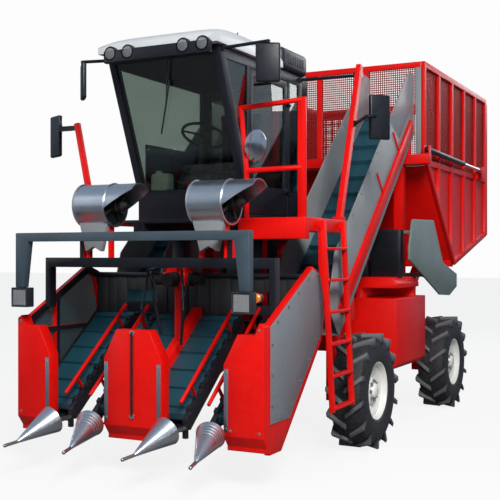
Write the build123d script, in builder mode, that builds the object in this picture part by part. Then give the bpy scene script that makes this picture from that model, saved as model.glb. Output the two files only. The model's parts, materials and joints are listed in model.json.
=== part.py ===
from build123d import *

import os
from math import atan2, cos, degrees, radians, sin, sqrt, tan

# Self-propelled two-row tobacco harvester, in millimetres. +Z is up, the machine drives towards -Y
# and its left side is +X. The origin is on the ground, under the middle of the overall box.

os.makedirs("parts", exist_ok=True)

# Whole machine
FRONT_OVERHANG = 2550.0  # from the dividers' points to the front axle
WHEELBASE = 2600.0
REAR_OVERHANG = 1950.0
LENGTH = FRONT_OVERHANG + WHEELBASE + REAR_OVERHANG
FRONT_Y = -LENGTH / 2
REAR_Y = LENGTH / 2
FRONT_AXLE_Y = FRONT_Y + FRONT_OVERHANG
REAR_AXLE_Y = FRONT_AXLE_Y + WHEELBASE
RUN_GAP = 0.3  # clearance between a moving piece and what carries it
BAR_SIDES = 8  # flats of a thin round bar
TUBE_SIDES = 12  # flats of a ram, hub or motor

# Wheels
TYRE_RADIUS = 520.0
TYRE_WIDTH = 330.0
CARCASS_RADIUS = 487.0
CARCASS_WIDTH = 318.0
SHOULDER_DROP = 75.0
SHOULDER_WIDE = 30.0
BEAD_RADIUS = 262.0
BEAD_DROP = 18.0
LUGS_A_SIDE = 14
LUG_WIDTH = 44.0
LUG_SWEEP = 122.0  # how far a lug runs round the tyre between its two ends
LUG_GAP = 6.0  # from the tyre's middle to a lug's inner end
CARCASS_SIDES = 2 * LUGS_A_SIDE
TRACK = 2270.0
WHEEL_X = TRACK / 2
LUG_HALF = (LUG_SWEEP + LUG_WIDTH) / 2
LUG_TOP = sqrt(TYRE_RADIUS**2 - LUG_HALF**2)
LUG_CORNER = degrees(atan2(LUG_HALF, LUG_TOP))
STANCE = 180 / LUGS_A_SIDE - LUG_CORNER  # angle from straight down to the lowest corners
AXLE_Z = TYRE_RADIUS * cos(radians(STANCE))
RIM_SIDES = 24
RIM_RADIUS = BEAD_RADIUS - 0.5
RIM_WALL = 17.0
RIM_HALF = 140.0
DISC_X = 80.0  # wheel disc's inner face, outboard of the wheel's mid-plane
DISC_THICK = 16.0
HUB_RADIUS = 105.0
STUB_RADIUS = 40.0
STUB_PROUD = 29.0  # end of the stub beyond the wheel disc

# Chassis
RAIL_X = 400.0
RAIL_WIDTH = 120.0
RAIL_LOW = 1000.0
RAIL_HIGH = 160.0
RAIL_TOP = RAIL_LOW + RAIL_HIGH
RAIL_FRONT = FRONT_AXLE_Y - 700.0
RAIL_REAR = REAR_AXLE_Y + 900.0
LEG_X = 860.0  # wheel legs and kingpins
LEG_SIZE = 130.0
AXLE_BEAM = 140.0
BEAM_LOW = RAIL_LOW - AXLE_BEAM
KINGPIN = 45.0
STEER_ARM = 230.0
ARM_THICK = 30.0
TIE_Z = 640.0
TIE_PIN = 18.0
CROSS_Y = (RAIL_FRONT, FRONT_AXLE_Y + 500.0, REAR_AXLE_Y - 650.0, REAR_AXLE_Y + 800.0)
ENGINE_Y = (FRONT_AXLE_Y + 600.0, REAR_AXLE_Y - 650.0)
ENGINE_HIGH = 860.0
TANK_OUT = 1190.0
TANK_Y = (FRONT_AXLE_Y + 780.0, REAR_AXLE_Y - 840.0)
TANK_Z = (615.0, 1310.0)
COVER_Z = (1412.0, 1520.0)
COVER_IN = 760.0
COVER_Y = (TANK_Y[0] + 20.0, TANK_Y[1] - 240.0)

# Bin
BIN_HALF = 1210.0
BIN_FRONT = REAR_AXLE_Y - 930.0
BIN_SILL = 2700.0  # top of the sheet-metal hopper, foot of the netting
BIN_NET = 1100.0
BIN_TOP = BIN_SILL + BIN_NET
BIN_WALL = 40.0
BIN_LOW = BIN_SILL - 1080.0
BIN_LOW_Y = REAR_AXLE_Y + 300.0
BIN_REAR_LOW = BIN_LOW + 380.0
BIN_LIP = 130.0  # depth of the ledge behind the front wall
BIN_SHOE = 20.0
BIN_SHEET = 8.0
BIN_RAIL = 60.0
BIN_RIBS = 6
GATE_WALL = 50.0
GATE_GAP = 6.0
GATE_PIN = 12.0
GATE_DROP = 30.0  # tailgate's hinge below the bin's top
GATE_HINGE_X = 800.0
GATE_BARS = 3
TIP_Y = REAR_Y - 170.0
TIP_Z = BIN_LOW + 270.0
TIP_PIN = 35.0
TIP_EYE = 60.0

# Gantry that carries the elevators' heads and the tipping rams
HOOP_Y = (REAR_AXLE_Y - 1060.0, REAR_AXLE_Y - 960.0)
HOOP_LOW = RAIL_TOP + 200.0
HOOP_TOP = BIN_SILL + 100.0
HOOP_POST_X = 960.0
HOOP_TUBE = 100.0
RAM_X = BIN_HALF + 50.0
RAM_FRONT = (HOOP_Y[0] + 50.0, HOOP_TOP + 50.0)
RAM_REAR = (TIP_Y - 440.0, BIN_SILL + 110.0)
RAM_RADIUS = 30.0
RAM_ROD = 18.0
RAM_BARREL = 1500.0
RAM_PIN = 12.0
EYE_HALF = 18.0
EAR_GAP = 4.0
EAR_THICK = 10.0
EAR_IN = EYE_HALF + EAR_GAP
EAR_OUT = EAR_IN + EAR_THICK
EAR_SIZE = 40.0
EYE_DRIFT = 95.0  # room behind a tipping ram's rear eye

# Cab and platform
CAB_HALF = 530.0
CAB_FLOOR = 2040.0
CAB_HIGH = 1360.0
CAB_TOP = CAB_FLOOR + CAB_HIGH
CAB_REAR = FRONT_AXLE_Y - 10.0
CAB_SILL_Y = FRONT_AXLE_Y - 1150.0
CAB_SILL = CAB_FLOOR + 210.0
CAB_BROW_Y = FRONT_AXLE_Y - 1620.0
CAB_WALL = 50.0
PILLAR = 80.0
GLASS = 8.0
GLASS_SET = 8.0  # panes' outer face, in from the cab's
WINDOW_LOW = CAB_FLOOR + 270.0
WINDOW_TOP = CAB_TOP - 90.0
SCREEN_TOP = CAB_TOP - 70.0
QUARTER_LOW = CAB_FLOOR + 580.0
DECK = 30.0
PLATFORM_BEAM = 170.0
PLATFORM_LOW = CAB_FLOOR - PLATFORM_BEAM
PLATFORM_LEFT = 1150.0
PLATFORM_RIGHT = 1010.0
PLATFORM_FRONT = FRONT_AXLE_Y - 1350.0
PLATFORM_POST_Y = (RAIL_FRONT, FRONT_AXLE_Y - 150.0)
POST_DEEP = 100.0
WING_REAR = FRONT_AXLE_Y - 450.0
WING_X = CAB_HALF + 10.0
RAILING_TOP = CAB_FLOOR + 890.0
RAILING_MID = CAB_FLOOR + 380.0
RAILING_TUBE = 21.0
RAILING_Y = PLATFORM_FRONT + 30.0
RAIL_TOP_X = CAB_HALF + 45.0
RAIL_IN_X = CAB_HALF + 95.0
RAIL_OUT_X = PLATFORM_LEFT - 35.0
POST_LEAN_X = 1098.0  # post behind the door, leaning back
LEAN_WIDE = 44.0
POST_LEAN_HEAD = (WING_REAR + 455.0, CAB_TOP + 60.0)
LADDER_Y = (FRONT_AXLE_Y - 1060.0, FRONT_AXLE_Y - 620.0)
LADDER_TOP_X = PLATFORM_LEFT + 32.0
LADDER_LEAN = 82.0
LADDER_FOOT_Z = 480.0
LADDER_TUBE = 40.0
LADDER_RUNGS = 6
DOOR_Y = (FRONT_AXLE_Y - 1080.0, FRONT_AXLE_Y - 330.0)
DOOR_LOW = CAB_FLOOR + 45.0
DOOR_GAP = 6.0
DOOR_STILE = 70.0
DOOR_PANEL = 245.0
HINGE_RADIUS = 11.0
HINGE_PIN = 7.0
HINGE_X = CAB_HALF + 15.0
HINGE_Y = DOOR_Y[1] - 3.0
HINGE_Z = (DOOR_LOW + 195.0, WINDOW_TOP - 230.0)
ROOF_OVER = 35.0
ROOF_Y = (CAB_BROW_Y - 80.0, CAB_REAR + 50.0)
ROOF_THICK = 120.0
LAMP_X = (-470.0, -290.0, 290.0, 470.0)
LAMP_Z = CAB_TOP + 70.0
LAMP_RADIUS = 62.0
LAMP_RING = 14.0
MIRROR_SPAN = 3060.0
MIRROR_OUT = MIRROR_SPAN / 2
MIRROR_WIDE = 190.0
MIRROR_HIGH = 380.0
MIRROR_DEEP = 40.0
MIRROR_ARM = 14.0

# Header
HEADER_HALF = 1130.0
ROW_X = 540.0
PIVOT_Y = FRONT_AXLE_Y - 760.0
PIVOT_Z = 1350.0
PIVOT_PIN = 30.0
PIVOT_EYE = 52.0
LUG_PLATE = 20.0
LIFT_RAM_X = 250.0
LIFT_RAM_REAR = (FRONT_AXLE_Y - 650.0, RAIL_LOW - 60.0)
LIFT_RAM_FRONT = (FRONT_AXLE_Y - 1480.0, 630.0)
LIFT_RAM_RADIUS = 34.0
LIFT_RAM_ROD = 20.0
LIFT_RAM_BARREL = 560.0
PANEL_Y = FRONT_AXLE_Y - 2030.0
PANEL_DEEP = 110.0
PANEL_LOW = 420.0
PANEL_TOP = PANEL_LOW + 745.0
PANEL_SHOULDER = PANEL_TOP - 225.0
PANEL_CHAMFER = 115.0
PANEL_INNER = 800.0
CENTRE_HALF = 265.0
HEADER_LOW = 285.0
SHEET = 8.0
CONE_BASE = (185.0, PANEL_Y - 55.0, PANEL_LOW + 10.0)  # from the row's middle, Y, Z
CONE_POINT = (255.0, FRONT_Y + 130.0, HEADER_LOW + 20.0)
BAR_POINT = (280.0, HEADER_LOW + 5.0)
CONE_RADIUS = 112.0
CONE_SIDES = 16
POINT_RADIUS = 14.0
BELT_FRONT = (FRONT_AXLE_Y - 1870.0, PANEL_LOW + 74.0)
BELT_REAR = (FRONT_AXLE_Y - 1010.0, PIVOT_Z - 170.0)
BELT_HALF = 45.0
CLEAT = 24.0
BELT_CLEATS = 6
FAN_Y = FRONT_AXLE_Y - 1700.0
FAN_Z = 2150.0
FAN_RADIUS = 172.0
FAN_LENGTH = 310.0
FAN_SIDES = 16
FAN_FLANGE = 12.0
FAN_FOOT = FAN_Z - FAN_RADIUS
FAN_RISE = tan(radians(180 / FAN_SIDES))  # slope of the drum's lowest flats
SCOOP = 240.0
NOZZLE_LOW = FAN_Z - 440.0
BEAM_Y = FRONT_AXLE_Y - 2100.0
BEAM_Z = 1885.0
BEAM_HALF = 1065.0
BEAM_SIZE = 35.0
BEAM_LEG = 405.0
LAMP_BOX = 160.0
KEEL_HALF = 40.0
CHAIN_X = 120.0  # chain beams, from the row's middle
CHAIN_FRONT = PANEL_Y + 80.0
CHAIN_WIDE = 40.0
CHAIN_LINKS = 9
REAR_TUBE_Y = (PIVOT_Y - 180.0, PIVOT_Y - 100.0)
REAR_TUBE_Z = (PIVOT_Z - 120.0, PIVOT_Z - 40.0)
TOP_TUBE_Y = (FAN_Y - 40.0, FAN_Y + 40.0)
TOP_TUBE_Z = (NOZZLE_LOW - 70.0, NOZZLE_LOW + 10.0)
GEARBOX_Z = (1480.0, 1600.0)
GEARBOX_Y = PIVOT_Y - 570.0

# Elevators
LIFT_INNER = 600.0
LIFT_OUTER = 1105.0
LIFT_WALL = 10.0
LIFT_FOOT = (FRONT_AXLE_Y - 650.0, 1192.0)
LIFT_HEAD = (BIN_FRONT - 150.0, BIN_SILL + 490.0)
LIFT_DEPTH = 200.0  # from the belt's middle to the casing's underside
LIFT_HIGH = 390.0  # from the belt's middle to the walls' top
LIFT_FOOT_HIGH = 150.0
HOOD_LOW = 60.0
HOOD_RUN = 610.0  # length of the clear hood at the head
FOOT_Y = (FRONT_AXLE_Y - 200.0, FRONT_AXLE_Y - 100.0)
LIFT_CLEATS = 12
LIFT_CLEAT = 50.0
CHANNEL = 30.0

LIFT_RUN = Vector(0, LIFT_HEAD[0] - LIFT_FOOT[0], LIFT_HEAD[1] - LIFT_FOOT[1])
LIFT_SLOPE = LIFT_RUN.Z / LIFT_RUN.Y
BELT_RUN = Vector(0, BELT_REAR[0] - BELT_FRONT[0], BELT_REAR[1] - BELT_FRONT[1])


def on_lift(run, rise):
    """A (Y, Z) point at a run along the elevators' belts and a rise square to them."""
    along = LIFT_RUN.normalized()
    return (LIFT_FOOT[0] + run * along.Y - rise * along.Z, LIFT_FOOT[1] + run * along.Z + rise * along.Y)


def on_belt(run, rise):
    """A (Y, Z) point at a run along the header's belts and a rise square to them."""
    along = BELT_RUN.normalized()
    return (BELT_FRONT[0] + run * along.Y - rise * along.Z, BELT_FRONT[1] + run * along.Z + rise * along.Y)


def under_lift(y):
    """Height of the elevators' underside at a place along the machine."""
    low_y, low_z = on_lift(0, -LIFT_DEPTH)
    return low_z + (y - low_y) * LIFT_SLOPE


def screen_y(z):
    """Place of the windscreen's outer face at a height."""
    return CAB_SILL_Y + (CAB_BROW_Y - CAB_SILL_Y) * (z - CAB_SILL) / (CAB_TOP - CAB_SILL)


def lean_y(z):
    """Place of the leaning post's middle at a height."""
    foot_y = WING_REAR - 45
    return foot_y + (POST_LEAN_HEAD[0] - foot_y) * (z - CAB_FLOOR) / (POST_LEAN_HEAD[1] - CAB_FLOOR)


def span(side, low, high):
    """A span of X on the left side, or its mirror image on the right."""
    return (low, high) if side > 0 else (-high, -low)


def block(x, y, z, mode=Mode.ADD):
    """A box from its (low, high) spans."""
    with Locations(((x[0] + x[1]) / 2, (y[0] + y[1]) / 2, (z[0] + z[1]) / 2)):
        Box(x[1] - x[0], y[1] - y[0], z[1] - z[0], mode=mode)


def bar(start, end, wide, deep, mode=Mode.ADD):
    """A straight rectangular bar; wide lies along X, or along Y on a bar that runs along X."""
    run = Vector(*end) - Vector(*start)
    across = (0, 1, 0) if abs(run.normalized().X) > 0.9 else (1, 0, 0)
    with BuildSketch(Plane(origin=start, x_dir=across, z_dir=run)) as section:
        Rectangle(wide, deep)
    extrude(section.sketch, amount=run.length, mode=mode)


def rod(start, end, radius, mode=Mode.ADD, sides=BAR_SIDES):
    """A straight bar with flats: a bore's flats lie at the radius, a bar's corners."""
    run = Vector(*end) - Vector(*start)
    with BuildSketch(Plane(origin=start, z_dir=run)) as section:
        RegularPolygon(radius, sides, major_radius=mode == Mode.ADD)
    extrude(section.sketch, amount=run.length, mode=mode)


def pin(start, end, radius):
    """A straight round pin."""
    run = Vector(*end) - Vector(*start)
    with BuildSketch(Plane(origin=start, z_dir=run)) as section:
        Circle(radius)
    extrude(section.sketch, amount=run.length)


def side_plate(points, x, mode=Mode.ADD):
    """A plate from its side outline of (Y, Z) points, over a span of X."""
    with BuildSketch(Plane.YZ.offset(x[0])) as outline:
        with BuildLine():
            Polyline(*points, close=True)
        make_face()
    extrude(outline.sketch, amount=x[1] - x[0], mode=mode)


def front_plate(points, y, mode=Mode.ADD):
    """A plate from its front outline of (X, Z) points, over a span of Y."""
    with BuildSketch(Plane((0, y[1], 0), x_dir=(1, 0, 0), z_dir=(0, -1, 0))) as outline:
        with BuildLine():
            Polyline(*points, close=True)
        make_face()
    extrude(outline.sketch, amount=y[1] - y[0], mode=mode)


def save(piece, name):
    piece.part.label = name
    export_step(piece.part, f"parts/{name}.step")


# Tyre, built once about the origin with its axle along X
with BuildPart() as tyre_form:
    with BuildSketch(Plane.YZ.offset(-CARCASS_WIDTH / 2)):
        RegularPolygon(CARCASS_RADIUS, CARCASS_SIDES)
        RegularPolygon(BEAD_RADIUS, RIM_SIDES, major_radius=False, mode=Mode.SUBTRACT)
    extrude(amount=CARCASS_WIDTH)
    for end in (0, -1):
        wall = tyre_form.faces().sort_by(Axis.X)[end]
        chamfer(wall.outer_wire().edges(), length=SHOULDER_DROP, length2=SHOULDER_WIDE, reference=wall)
        wall = tyre_form.faces().sort_by(Axis.X)[end]
        chamfer(wall.inner_wires()[0].edges(), length=SHOULDER_DROP, length2=BEAD_DROP, reference=wall)
    for hand, phase in [(1, 0.0), (-1, 0.5)]:
        for k in range(LUGS_A_SIDE):
            turn = radians(-90 + 360 / LUGS_A_SIDE * (k + phase))
            out = Vector(0, cos(turn), sin(turn))
            with BuildSketch(Plane(out * (CARCASS_RADIUS - SHOULDER_DROP), x_dir=(1, 0, 0), z_dir=out)):
                with BuildLine():
                    Polyline(
                        (hand * LUG_GAP, -LUG_HALF),
                        (hand * LUG_GAP, -LUG_HALF + LUG_WIDTH),
                        (hand * TYRE_WIDTH / 2, LUG_HALF),
                        (hand * TYRE_WIDTH / 2, LUG_HALF - LUG_WIDTH),
                        close=True,
                    )
                make_face()
    extrude(amount=LUG_TOP - CARCASS_RADIUS + SHOULDER_DROP)

# Rim with its disc, outboard face towards +X
with BuildPart() as rim_form:
    with BuildSketch(Plane.YZ.offset(-RIM_HALF)):
        RegularPolygon(RIM_RADIUS, RIM_SIDES, major_radius=False)
        RegularPolygon(RIM_RADIUS - RIM_WALL, RIM_SIDES, major_radius=False, mode=Mode.SUBTRACT)
    extrude(amount=2 * RIM_HALF)
    with BuildSketch(Plane.YZ.offset(DISC_X)):
        RegularPolygon(RIM_RADIUS - RIM_WALL, RIM_SIDES, major_radius=False)
        RegularPolygon(STUB_RADIUS + RUN_GAP, TUBE_SIDES, major_radius=False, mode=Mode.SUBTRACT)
    extrude(amount=DISC_THICK)

# Name, side (+1 left), axle's Y
for name, side, axle_y in [
    ("front_left", 1, FRONT_AXLE_Y),
    ("front_right", -1, FRONT_AXLE_Y),
    ("rear_left", 1, REAR_AXLE_Y),
    ("rear_right", -1, REAR_AXLE_Y),
]:
    with BuildPart() as tyre:
        with Locations((side * WHEEL_X, axle_y, AXLE_Z)):
            add(tyre_form.part)
    save(tyre, f"tyre_{name}")
    with BuildPart() as rim:
        with Locations(Location((side * WHEEL_X, axle_y, AXLE_Z), (0, 0, 0 if side > 0 else 180))):
            add(rim_form.part)
    save(rim, f"rim_{name}")


def hub(side, axle_y):
    """Wheel hub and stub axle out of a leg."""
    start = (side * (LEG_X + LEG_SIZE / 2 - 10), axle_y, AXLE_Z)
    rod(start, (side * (WHEEL_X + DISC_X - 5), axle_y, AXLE_Z), HUB_RADIUS, sides=TUBE_SIDES)
    pin(start, (side * (WHEEL_X + DISC_X + DISC_THICK + STUB_PROUD), axle_y, AXLE_Z), STUB_RADIUS)


# Chassis rails, crossmembers, uprights under the cab, outriggers and the arms of the bin's hinge
with BuildPart() as main_frame:
    for y in CROSS_Y:
        block((-RAIL_X, RAIL_X), (y, y + POST_DEEP), (RAIL_LOW, RAIL_TOP))
    for side in (1, -1):
        rail = span(side, RAIL_X - RAIL_WIDTH / 2, RAIL_X + RAIL_WIDTH / 2)
        block(rail, (RAIL_FRONT, RAIL_REAR), (RAIL_LOW, RAIL_TOP))
        for y in PLATFORM_POST_Y:
            block(rail, (y, y + POST_DEEP), (RAIL_TOP, PLATFORM_LOW))
        block(rail, (BIN_LOW_Y - 50, BIN_LOW_Y + 50), (RAIL_TOP, BIN_LOW - BIN_SHOE - RUN_GAP))
        # Outrigger under the elevator's foot
        reach = span(side, RAIL_X - RAIL_WIDTH / 2, LIFT_OUTER - 20)
        block(reach, FOOT_Y, (RAIL_TOP, RAIL_TOP + HOOP_TUBE))
        for low_x in (LIFT_INNER + 20, LIFT_OUTER - 100):
            side_plate(
                [
                    (FOOT_Y[0], RAIL_TOP + HOOP_TUBE),
                    (FOOT_Y[1], RAIL_TOP + HOOP_TUBE),
                    (FOOT_Y[1], under_lift(FOOT_Y[1])),
                    (FOOT_Y[0], under_lift(FOOT_Y[0])),
                ],
                span(side, low_x, low_x + 80),
            )
        # Rear arm and the ears of the bin's hinge
        arm_foot = (side * RAIL_X, RAIL_REAR - 60, RAIL_LOW + RAIL_HIGH / 2)
        bar(arm_foot, (side * RAIL_X, TIP_Y - 50, TIP_Z - 100), 100, 110)
        for ear in (-1, 1):
            low_x = side * RAIL_X + ear * 46 - 9
            side_plate(
                [
                    (TIP_Y - 130, TIP_Z - 130),
                    (TIP_Y - 30, TIP_Z - 110),
                    (TIP_Y + 40, TIP_Z - 30),
                    (TIP_Y + 40, TIP_Z + 38),
                    (TIP_Y - 40, TIP_Z + 38),
                    (TIP_Y - 140, TIP_Z - 100),
                ],
                (low_x, low_x + 18),
            )
        pin((side * RAIL_X - 50, TIP_Y, TIP_Z), (side * RAIL_X + 50, TIP_Y, TIP_Z), TIP_PIN)
        # Ears of the header's lift ram, under the front crossmember
        for low_x in (LIFT_RAM_X - EAR_OUT, LIFT_RAM_X + EAR_IN):
            ear = span(side, low_x, low_x + EAR_THICK)
            ear_y = (LIFT_RAM_REAR[0] - EAR_SIZE, LIFT_RAM_REAR[0] + EAR_SIZE)
            block(ear, ear_y, (LIFT_RAM_REAR[1] - EAR_SIZE, RAIL_LOW))
        ends = span(side, LIFT_RAM_X - EAR_OUT, LIFT_RAM_X + EAR_OUT)
        pin((ends[0], *LIFT_RAM_REAR), (ends[1], *LIFT_RAM_REAR), RAM_PIN)
        # Ears of the header's hinge, on the front uprights
        for low_x in (RAIL_X - 48, RAIL_X + 28):
            ear = span(side, low_x, low_x + LUG_PLATE)
            block(ear, (PIVOT_Y - 40, PLATFORM_POST_Y[0]), (PIVOT_Z - 45, PIVOT_Z + 45))
        pin((side * RAIL_X - 45, PIVOT_Y, PIVOT_Z), (side * RAIL_X + 45, PIVOT_Y, PIVOT_Z), PIVOT_PIN)
save(main_frame, "main_frame")

# Gantry over the engine: posts on the rails, cross beam, seats of the elevators and ears of the rams
with BuildPart() as gantry:
    beam_half = RAM_X + EAR_OUT
    block((-beam_half, beam_half), HOOP_Y, (HOOP_TOP - HOOP_TUBE, HOOP_TOP))
    for side in (1, -1):
        rail = span(side, RAIL_X - RAIL_WIDTH / 2, RAIL_X + RAIL_WIDTH / 2)
        post = span(side, HOOP_POST_X - HOOP_TUBE / 2, HOOP_POST_X + HOOP_TUBE / 2)
        block(rail, HOOP_Y, (RAIL_TOP, HOOP_LOW))
        reach = span(side, RAIL_X - RAIL_WIDTH / 2, HOOP_POST_X + HOOP_TUBE / 2)
        block(reach, HOOP_Y, (HOOP_LOW, HOOP_LOW + HOOP_TUBE))
        block(post, HOOP_Y, (HOOP_LOW, HOOP_TOP))
        seat_y = (HOOP_Y[0], HOOP_Y[0] + 50)
        for low_x in (LIFT_INNER + 20, LIFT_OUTER - 100):
            side_plate(
                [
                    (seat_y[0], HOOP_TOP),
                    (seat_y[1], HOOP_TOP),
                    (seat_y[1], under_lift(seat_y[1])),
                    (seat_y[0], under_lift(seat_y[0])),
                ],
                span(side, low_x, low_x + 80),
            )
        for low_x in (RAM_X - EAR_OUT, RAM_X + EAR_IN):
            ear_y = (RAM_FRONT[0] - EAR_SIZE, RAM_FRONT[0] + EAR_SIZE)
            block(span(side, low_x, low_x + EAR_THICK), ear_y, (HOOP_TOP, RAM_FRONT[1] + EAR_SIZE))
        ends = span(side, RAM_X - EAR_OUT, RAM_X + EAR_OUT)
        pin((ends[0], *RAM_FRONT), (ends[1], *RAM_FRONT), RAM_PIN)
save(gantry, "gantry")

# Driven front axle: beam, legs and hubs
with BuildPart() as front_axle:
    leg_y = (FRONT_AXLE_Y - LEG_SIZE / 2, FRONT_AXLE_Y + LEG_SIZE / 2)
    block((-LEG_X - LEG_SIZE / 2, LEG_X + LEG_SIZE / 2), leg_y, (BEAM_LOW, RAIL_LOW))
    for side in (1, -1):
        leg = span(side, LEG_X - LEG_SIZE / 2, LEG_X + LEG_SIZE / 2)
        block(leg, leg_y, (AXLE_Z - HUB_RADIUS - 5, BEAM_LOW))
        hub(side, FRONT_AXLE_Y)
save(front_axle, "front_axle")

# Rear axle beam with the kingpins' bores
with BuildPart() as rear_axle:
    block((-LEG_X - 80, LEG_X + 80), (REAR_AXLE_Y - 75, REAR_AXLE_Y + 75), (BEAM_LOW, RAIL_LOW))
    for side in (1, -1):
        low, high = (side * LEG_X, REAR_AXLE_Y, BEAM_LOW - 10), (side * LEG_X, REAR_AXLE_Y, RAIL_LOW + 10)
        rod(low, high, KINGPIN + RUN_GAP, Mode.SUBTRACT, TUBE_SIDES)
save(rear_axle, "rear_axle")

for name, side in [("left", 1), ("right", -1)]:
    with BuildPart() as knuckle:
        at = side * LEG_X
        leg_y = (REAR_AXLE_Y - LEG_SIZE / 2, REAR_AXLE_Y + LEG_SIZE / 2)
        leg_top = BEAM_LOW - 5
        block((at - LEG_SIZE / 2, at + LEG_SIZE / 2), leg_y, (AXLE_Z - HUB_RADIUS - 5, leg_top))
        cap_low = (at, REAR_AXLE_Y, RAIL_LOW + 6)
        pin((at, REAR_AXLE_Y, leg_top - 15), cap_low, KINGPIN)
        rod(cap_low, (at, REAR_AXLE_Y, RAIL_LOW + 30), KINGPIN + 22, sides=TUBE_SIDES)
        hub(side, REAR_AXLE_Y)
        tie_y = REAR_AXLE_Y + STEER_ARM
        block((at - 35, at + 35), (leg_y[1] - 5, tie_y + 40), (TIE_Z - ARM_THICK, TIE_Z))
        pin((at, tie_y, TIE_Z - 10), (at, tie_y, TIE_Z + 45), TIE_PIN)
    save(knuckle, f"knuckle_{name}")

with BuildPart() as tie_rod:
    tie_y = REAR_AXLE_Y + STEER_ARM
    rod((-LEG_X, tie_y, TIE_Z + 22.5), (LEG_X, tie_y, TIE_Z + 22.5), 16)
    for at in (LEG_X, -LEG_X):
        rod((at, tie_y, TIE_Z + 5), (at, tie_y, TIE_Z + 40), 38, sides=TUBE_SIDES)
        rod((at, tie_y, TIE_Z), (at, tie_y, TIE_Z + 50), TIE_PIN + RUN_GAP, Mode.SUBTRACT, TUBE_SIDES)
save(tie_rod, "tie_rod")

with BuildPart() as engine:
    engine_half = RAIL_X - RAIL_WIDTH / 2 - 10
    block((-engine_half, engine_half), ENGINE_Y, (RAIL_LOW + 40, RAIL_LOW + 40 + ENGINE_HIGH))
save(engine, "engine")

# Fuel tank on the left and oil tank on the right, each with a cover on two plates above it
with BuildPart() as side_tanks:
    for side in (1, -1):
        block(span(side, RAIL_X + RAIL_WIDTH / 2, TANK_OUT), TANK_Y, TANK_Z)
    low_edges = side_tanks.edges().filter_by(Axis.Y).group_by(Axis.Z)[0]
    chamfer(low_edges, 45)
    for side in (1, -1):
        front_plate(
            [
                (side * COVER_IN, COVER_Z[0]),
                (side * TANK_OUT, COVER_Z[0]),
                (side * TANK_OUT, COVER_Z[1] - 60),
                (side * (TANK_OUT - 60), COVER_Z[1]),
                (side * COVER_IN, COVER_Z[1]),
            ],
            COVER_Y,
        )
        block(span(side, COVER_IN, COVER_IN + 60), COVER_Y, (TANK_Z[1], COVER_Z[0]))
        block(span(side, COVER_IN, TANK_OUT - 30), (COVER_Y[1] - 80, COVER_Y[1]), (TANK_Z[1], COVER_Z[0]))
save(side_tanks, "side_tanks")

# Deck under the cab on its two beams
with BuildPart() as cab_floor:
    block((-WING_X, WING_X), (PLATFORM_FRONT, CAB_REAR), (CAB_FLOOR - DECK, CAB_FLOOR))
    for side in (1, -1):
        beam = span(side, RAIL_X - 50, RAIL_X + 50)
        block(beam, (PLATFORM_FRONT, CAB_REAR), (PLATFORM_LOW, CAB_FLOOR - DECK))
save(cab_floor, "cab_floor")

# Wings of the platform beside the deck, the left one with a deep front beam
with BuildPart() as platform:
    deck_low = CAB_FLOOR - DECK
    for side, outer in ((1, PLATFORM_LEFT), (-1, PLATFORM_RIGHT)):
        block(span(side, WING_X, outer), (PLATFORM_FRONT, WING_REAR), (deck_low, CAB_FLOOR))
        block(span(side, RAIL_X + 50, outer), (WING_REAR - 70, WING_REAR), (deck_low - 70, deck_low))
    beam_y = (PLATFORM_FRONT, PLATFORM_FRONT + 90)
    block((WING_X + 20, PLATFORM_LEFT), beam_y, (PLATFORM_LOW, deck_low))
    block((WING_X + 20, WING_X + 110), beam_y, (PLATFORM_LOW - 90, PLATFORM_LOW))
    block((PLATFORM_LEFT - 60, PLATFORM_LEFT), (PLATFORM_FRONT, WING_REAR), (PLATFORM_LOW + 60, deck_low))
save(platform, "platform")

# Railing at the platform's front left, the post behind the door and the right mirror's post
RIGHT_POST = (-PLATFORM_RIGHT + 40, -MIRROR_OUT + 370)  # X of its foot and of its head
RIGHT_POST_Y = PLATFORM_FRONT + 150
RIGHT_POST_WIDE = 44.0


def right_post_out(z):
    """Place of the right post's outer face at a height."""
    lean = (RIGHT_POST[1] - RIGHT_POST[0]) / (RAILING_TOP - CAB_FLOOR)
    return RIGHT_POST[0] + lean * (z - CAB_FLOOR) - RIGHT_POST_WIDE / 2 * sqrt(1 + lean**2)


with BuildPart() as railing:
    top_in = (RAIL_TOP_X, RAILING_Y, RAILING_TOP)
    mid_in = (RAIL_IN_X, RAILING_Y, RAILING_MID)
    for start, end in [
        ((RAIL_IN_X, RAILING_Y, CAB_FLOOR), mid_in),
        (mid_in, top_in),
        (top_in, (RAIL_OUT_X, RAILING_Y, RAILING_TOP + 30)),
        (mid_in, (RAIL_OUT_X, RAILING_Y, RAILING_MID + 10)),
    ]:
        rod(start, end, RAILING_TUBE)
    for corner in (top_in, mid_in):
        with Locations(corner):
            Box(30, 30, 30)
    post_y = (RAILING_Y - 15, RAILING_Y + 15)
    block((RAIL_OUT_X - 32, RAIL_OUT_X + 32), post_y, (CAB_FLOOR, RAILING_TOP + 50))
    block((POST_LEAN_X - 40, POST_LEAN_X + 40), (WING_REAR - 100, WING_REAR), (CAB_FLOOR, CAB_FLOOR + 30))
    bar((POST_LEAN_X, lean_y(CAB_FLOOR + 15), CAB_FLOOR + 15), (POST_LEAN_X, *POST_LEAN_HEAD), LEAN_WIDE, 70)
    foot_x = RIGHT_POST[0]
    foot_y = (RIGHT_POST_Y - 35, RIGHT_POST_Y + 35)
    post_head = (RIGHT_POST[1], RIGHT_POST_Y, RAILING_TOP)
    bar((foot_x, RIGHT_POST_Y, CAB_FLOOR), post_head, RIGHT_POST_WIDE, RIGHT_POST_WIDE)
    block((foot_x - 35, foot_x + 35), foot_y, (CAB_FLOOR - 20, CAB_FLOOR), Mode.SUBTRACT)
    block((foot_x - 35, foot_x + 35), foot_y, (CAB_FLOOR, CAB_FLOOR + 12))
save(railing, "railing")

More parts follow.
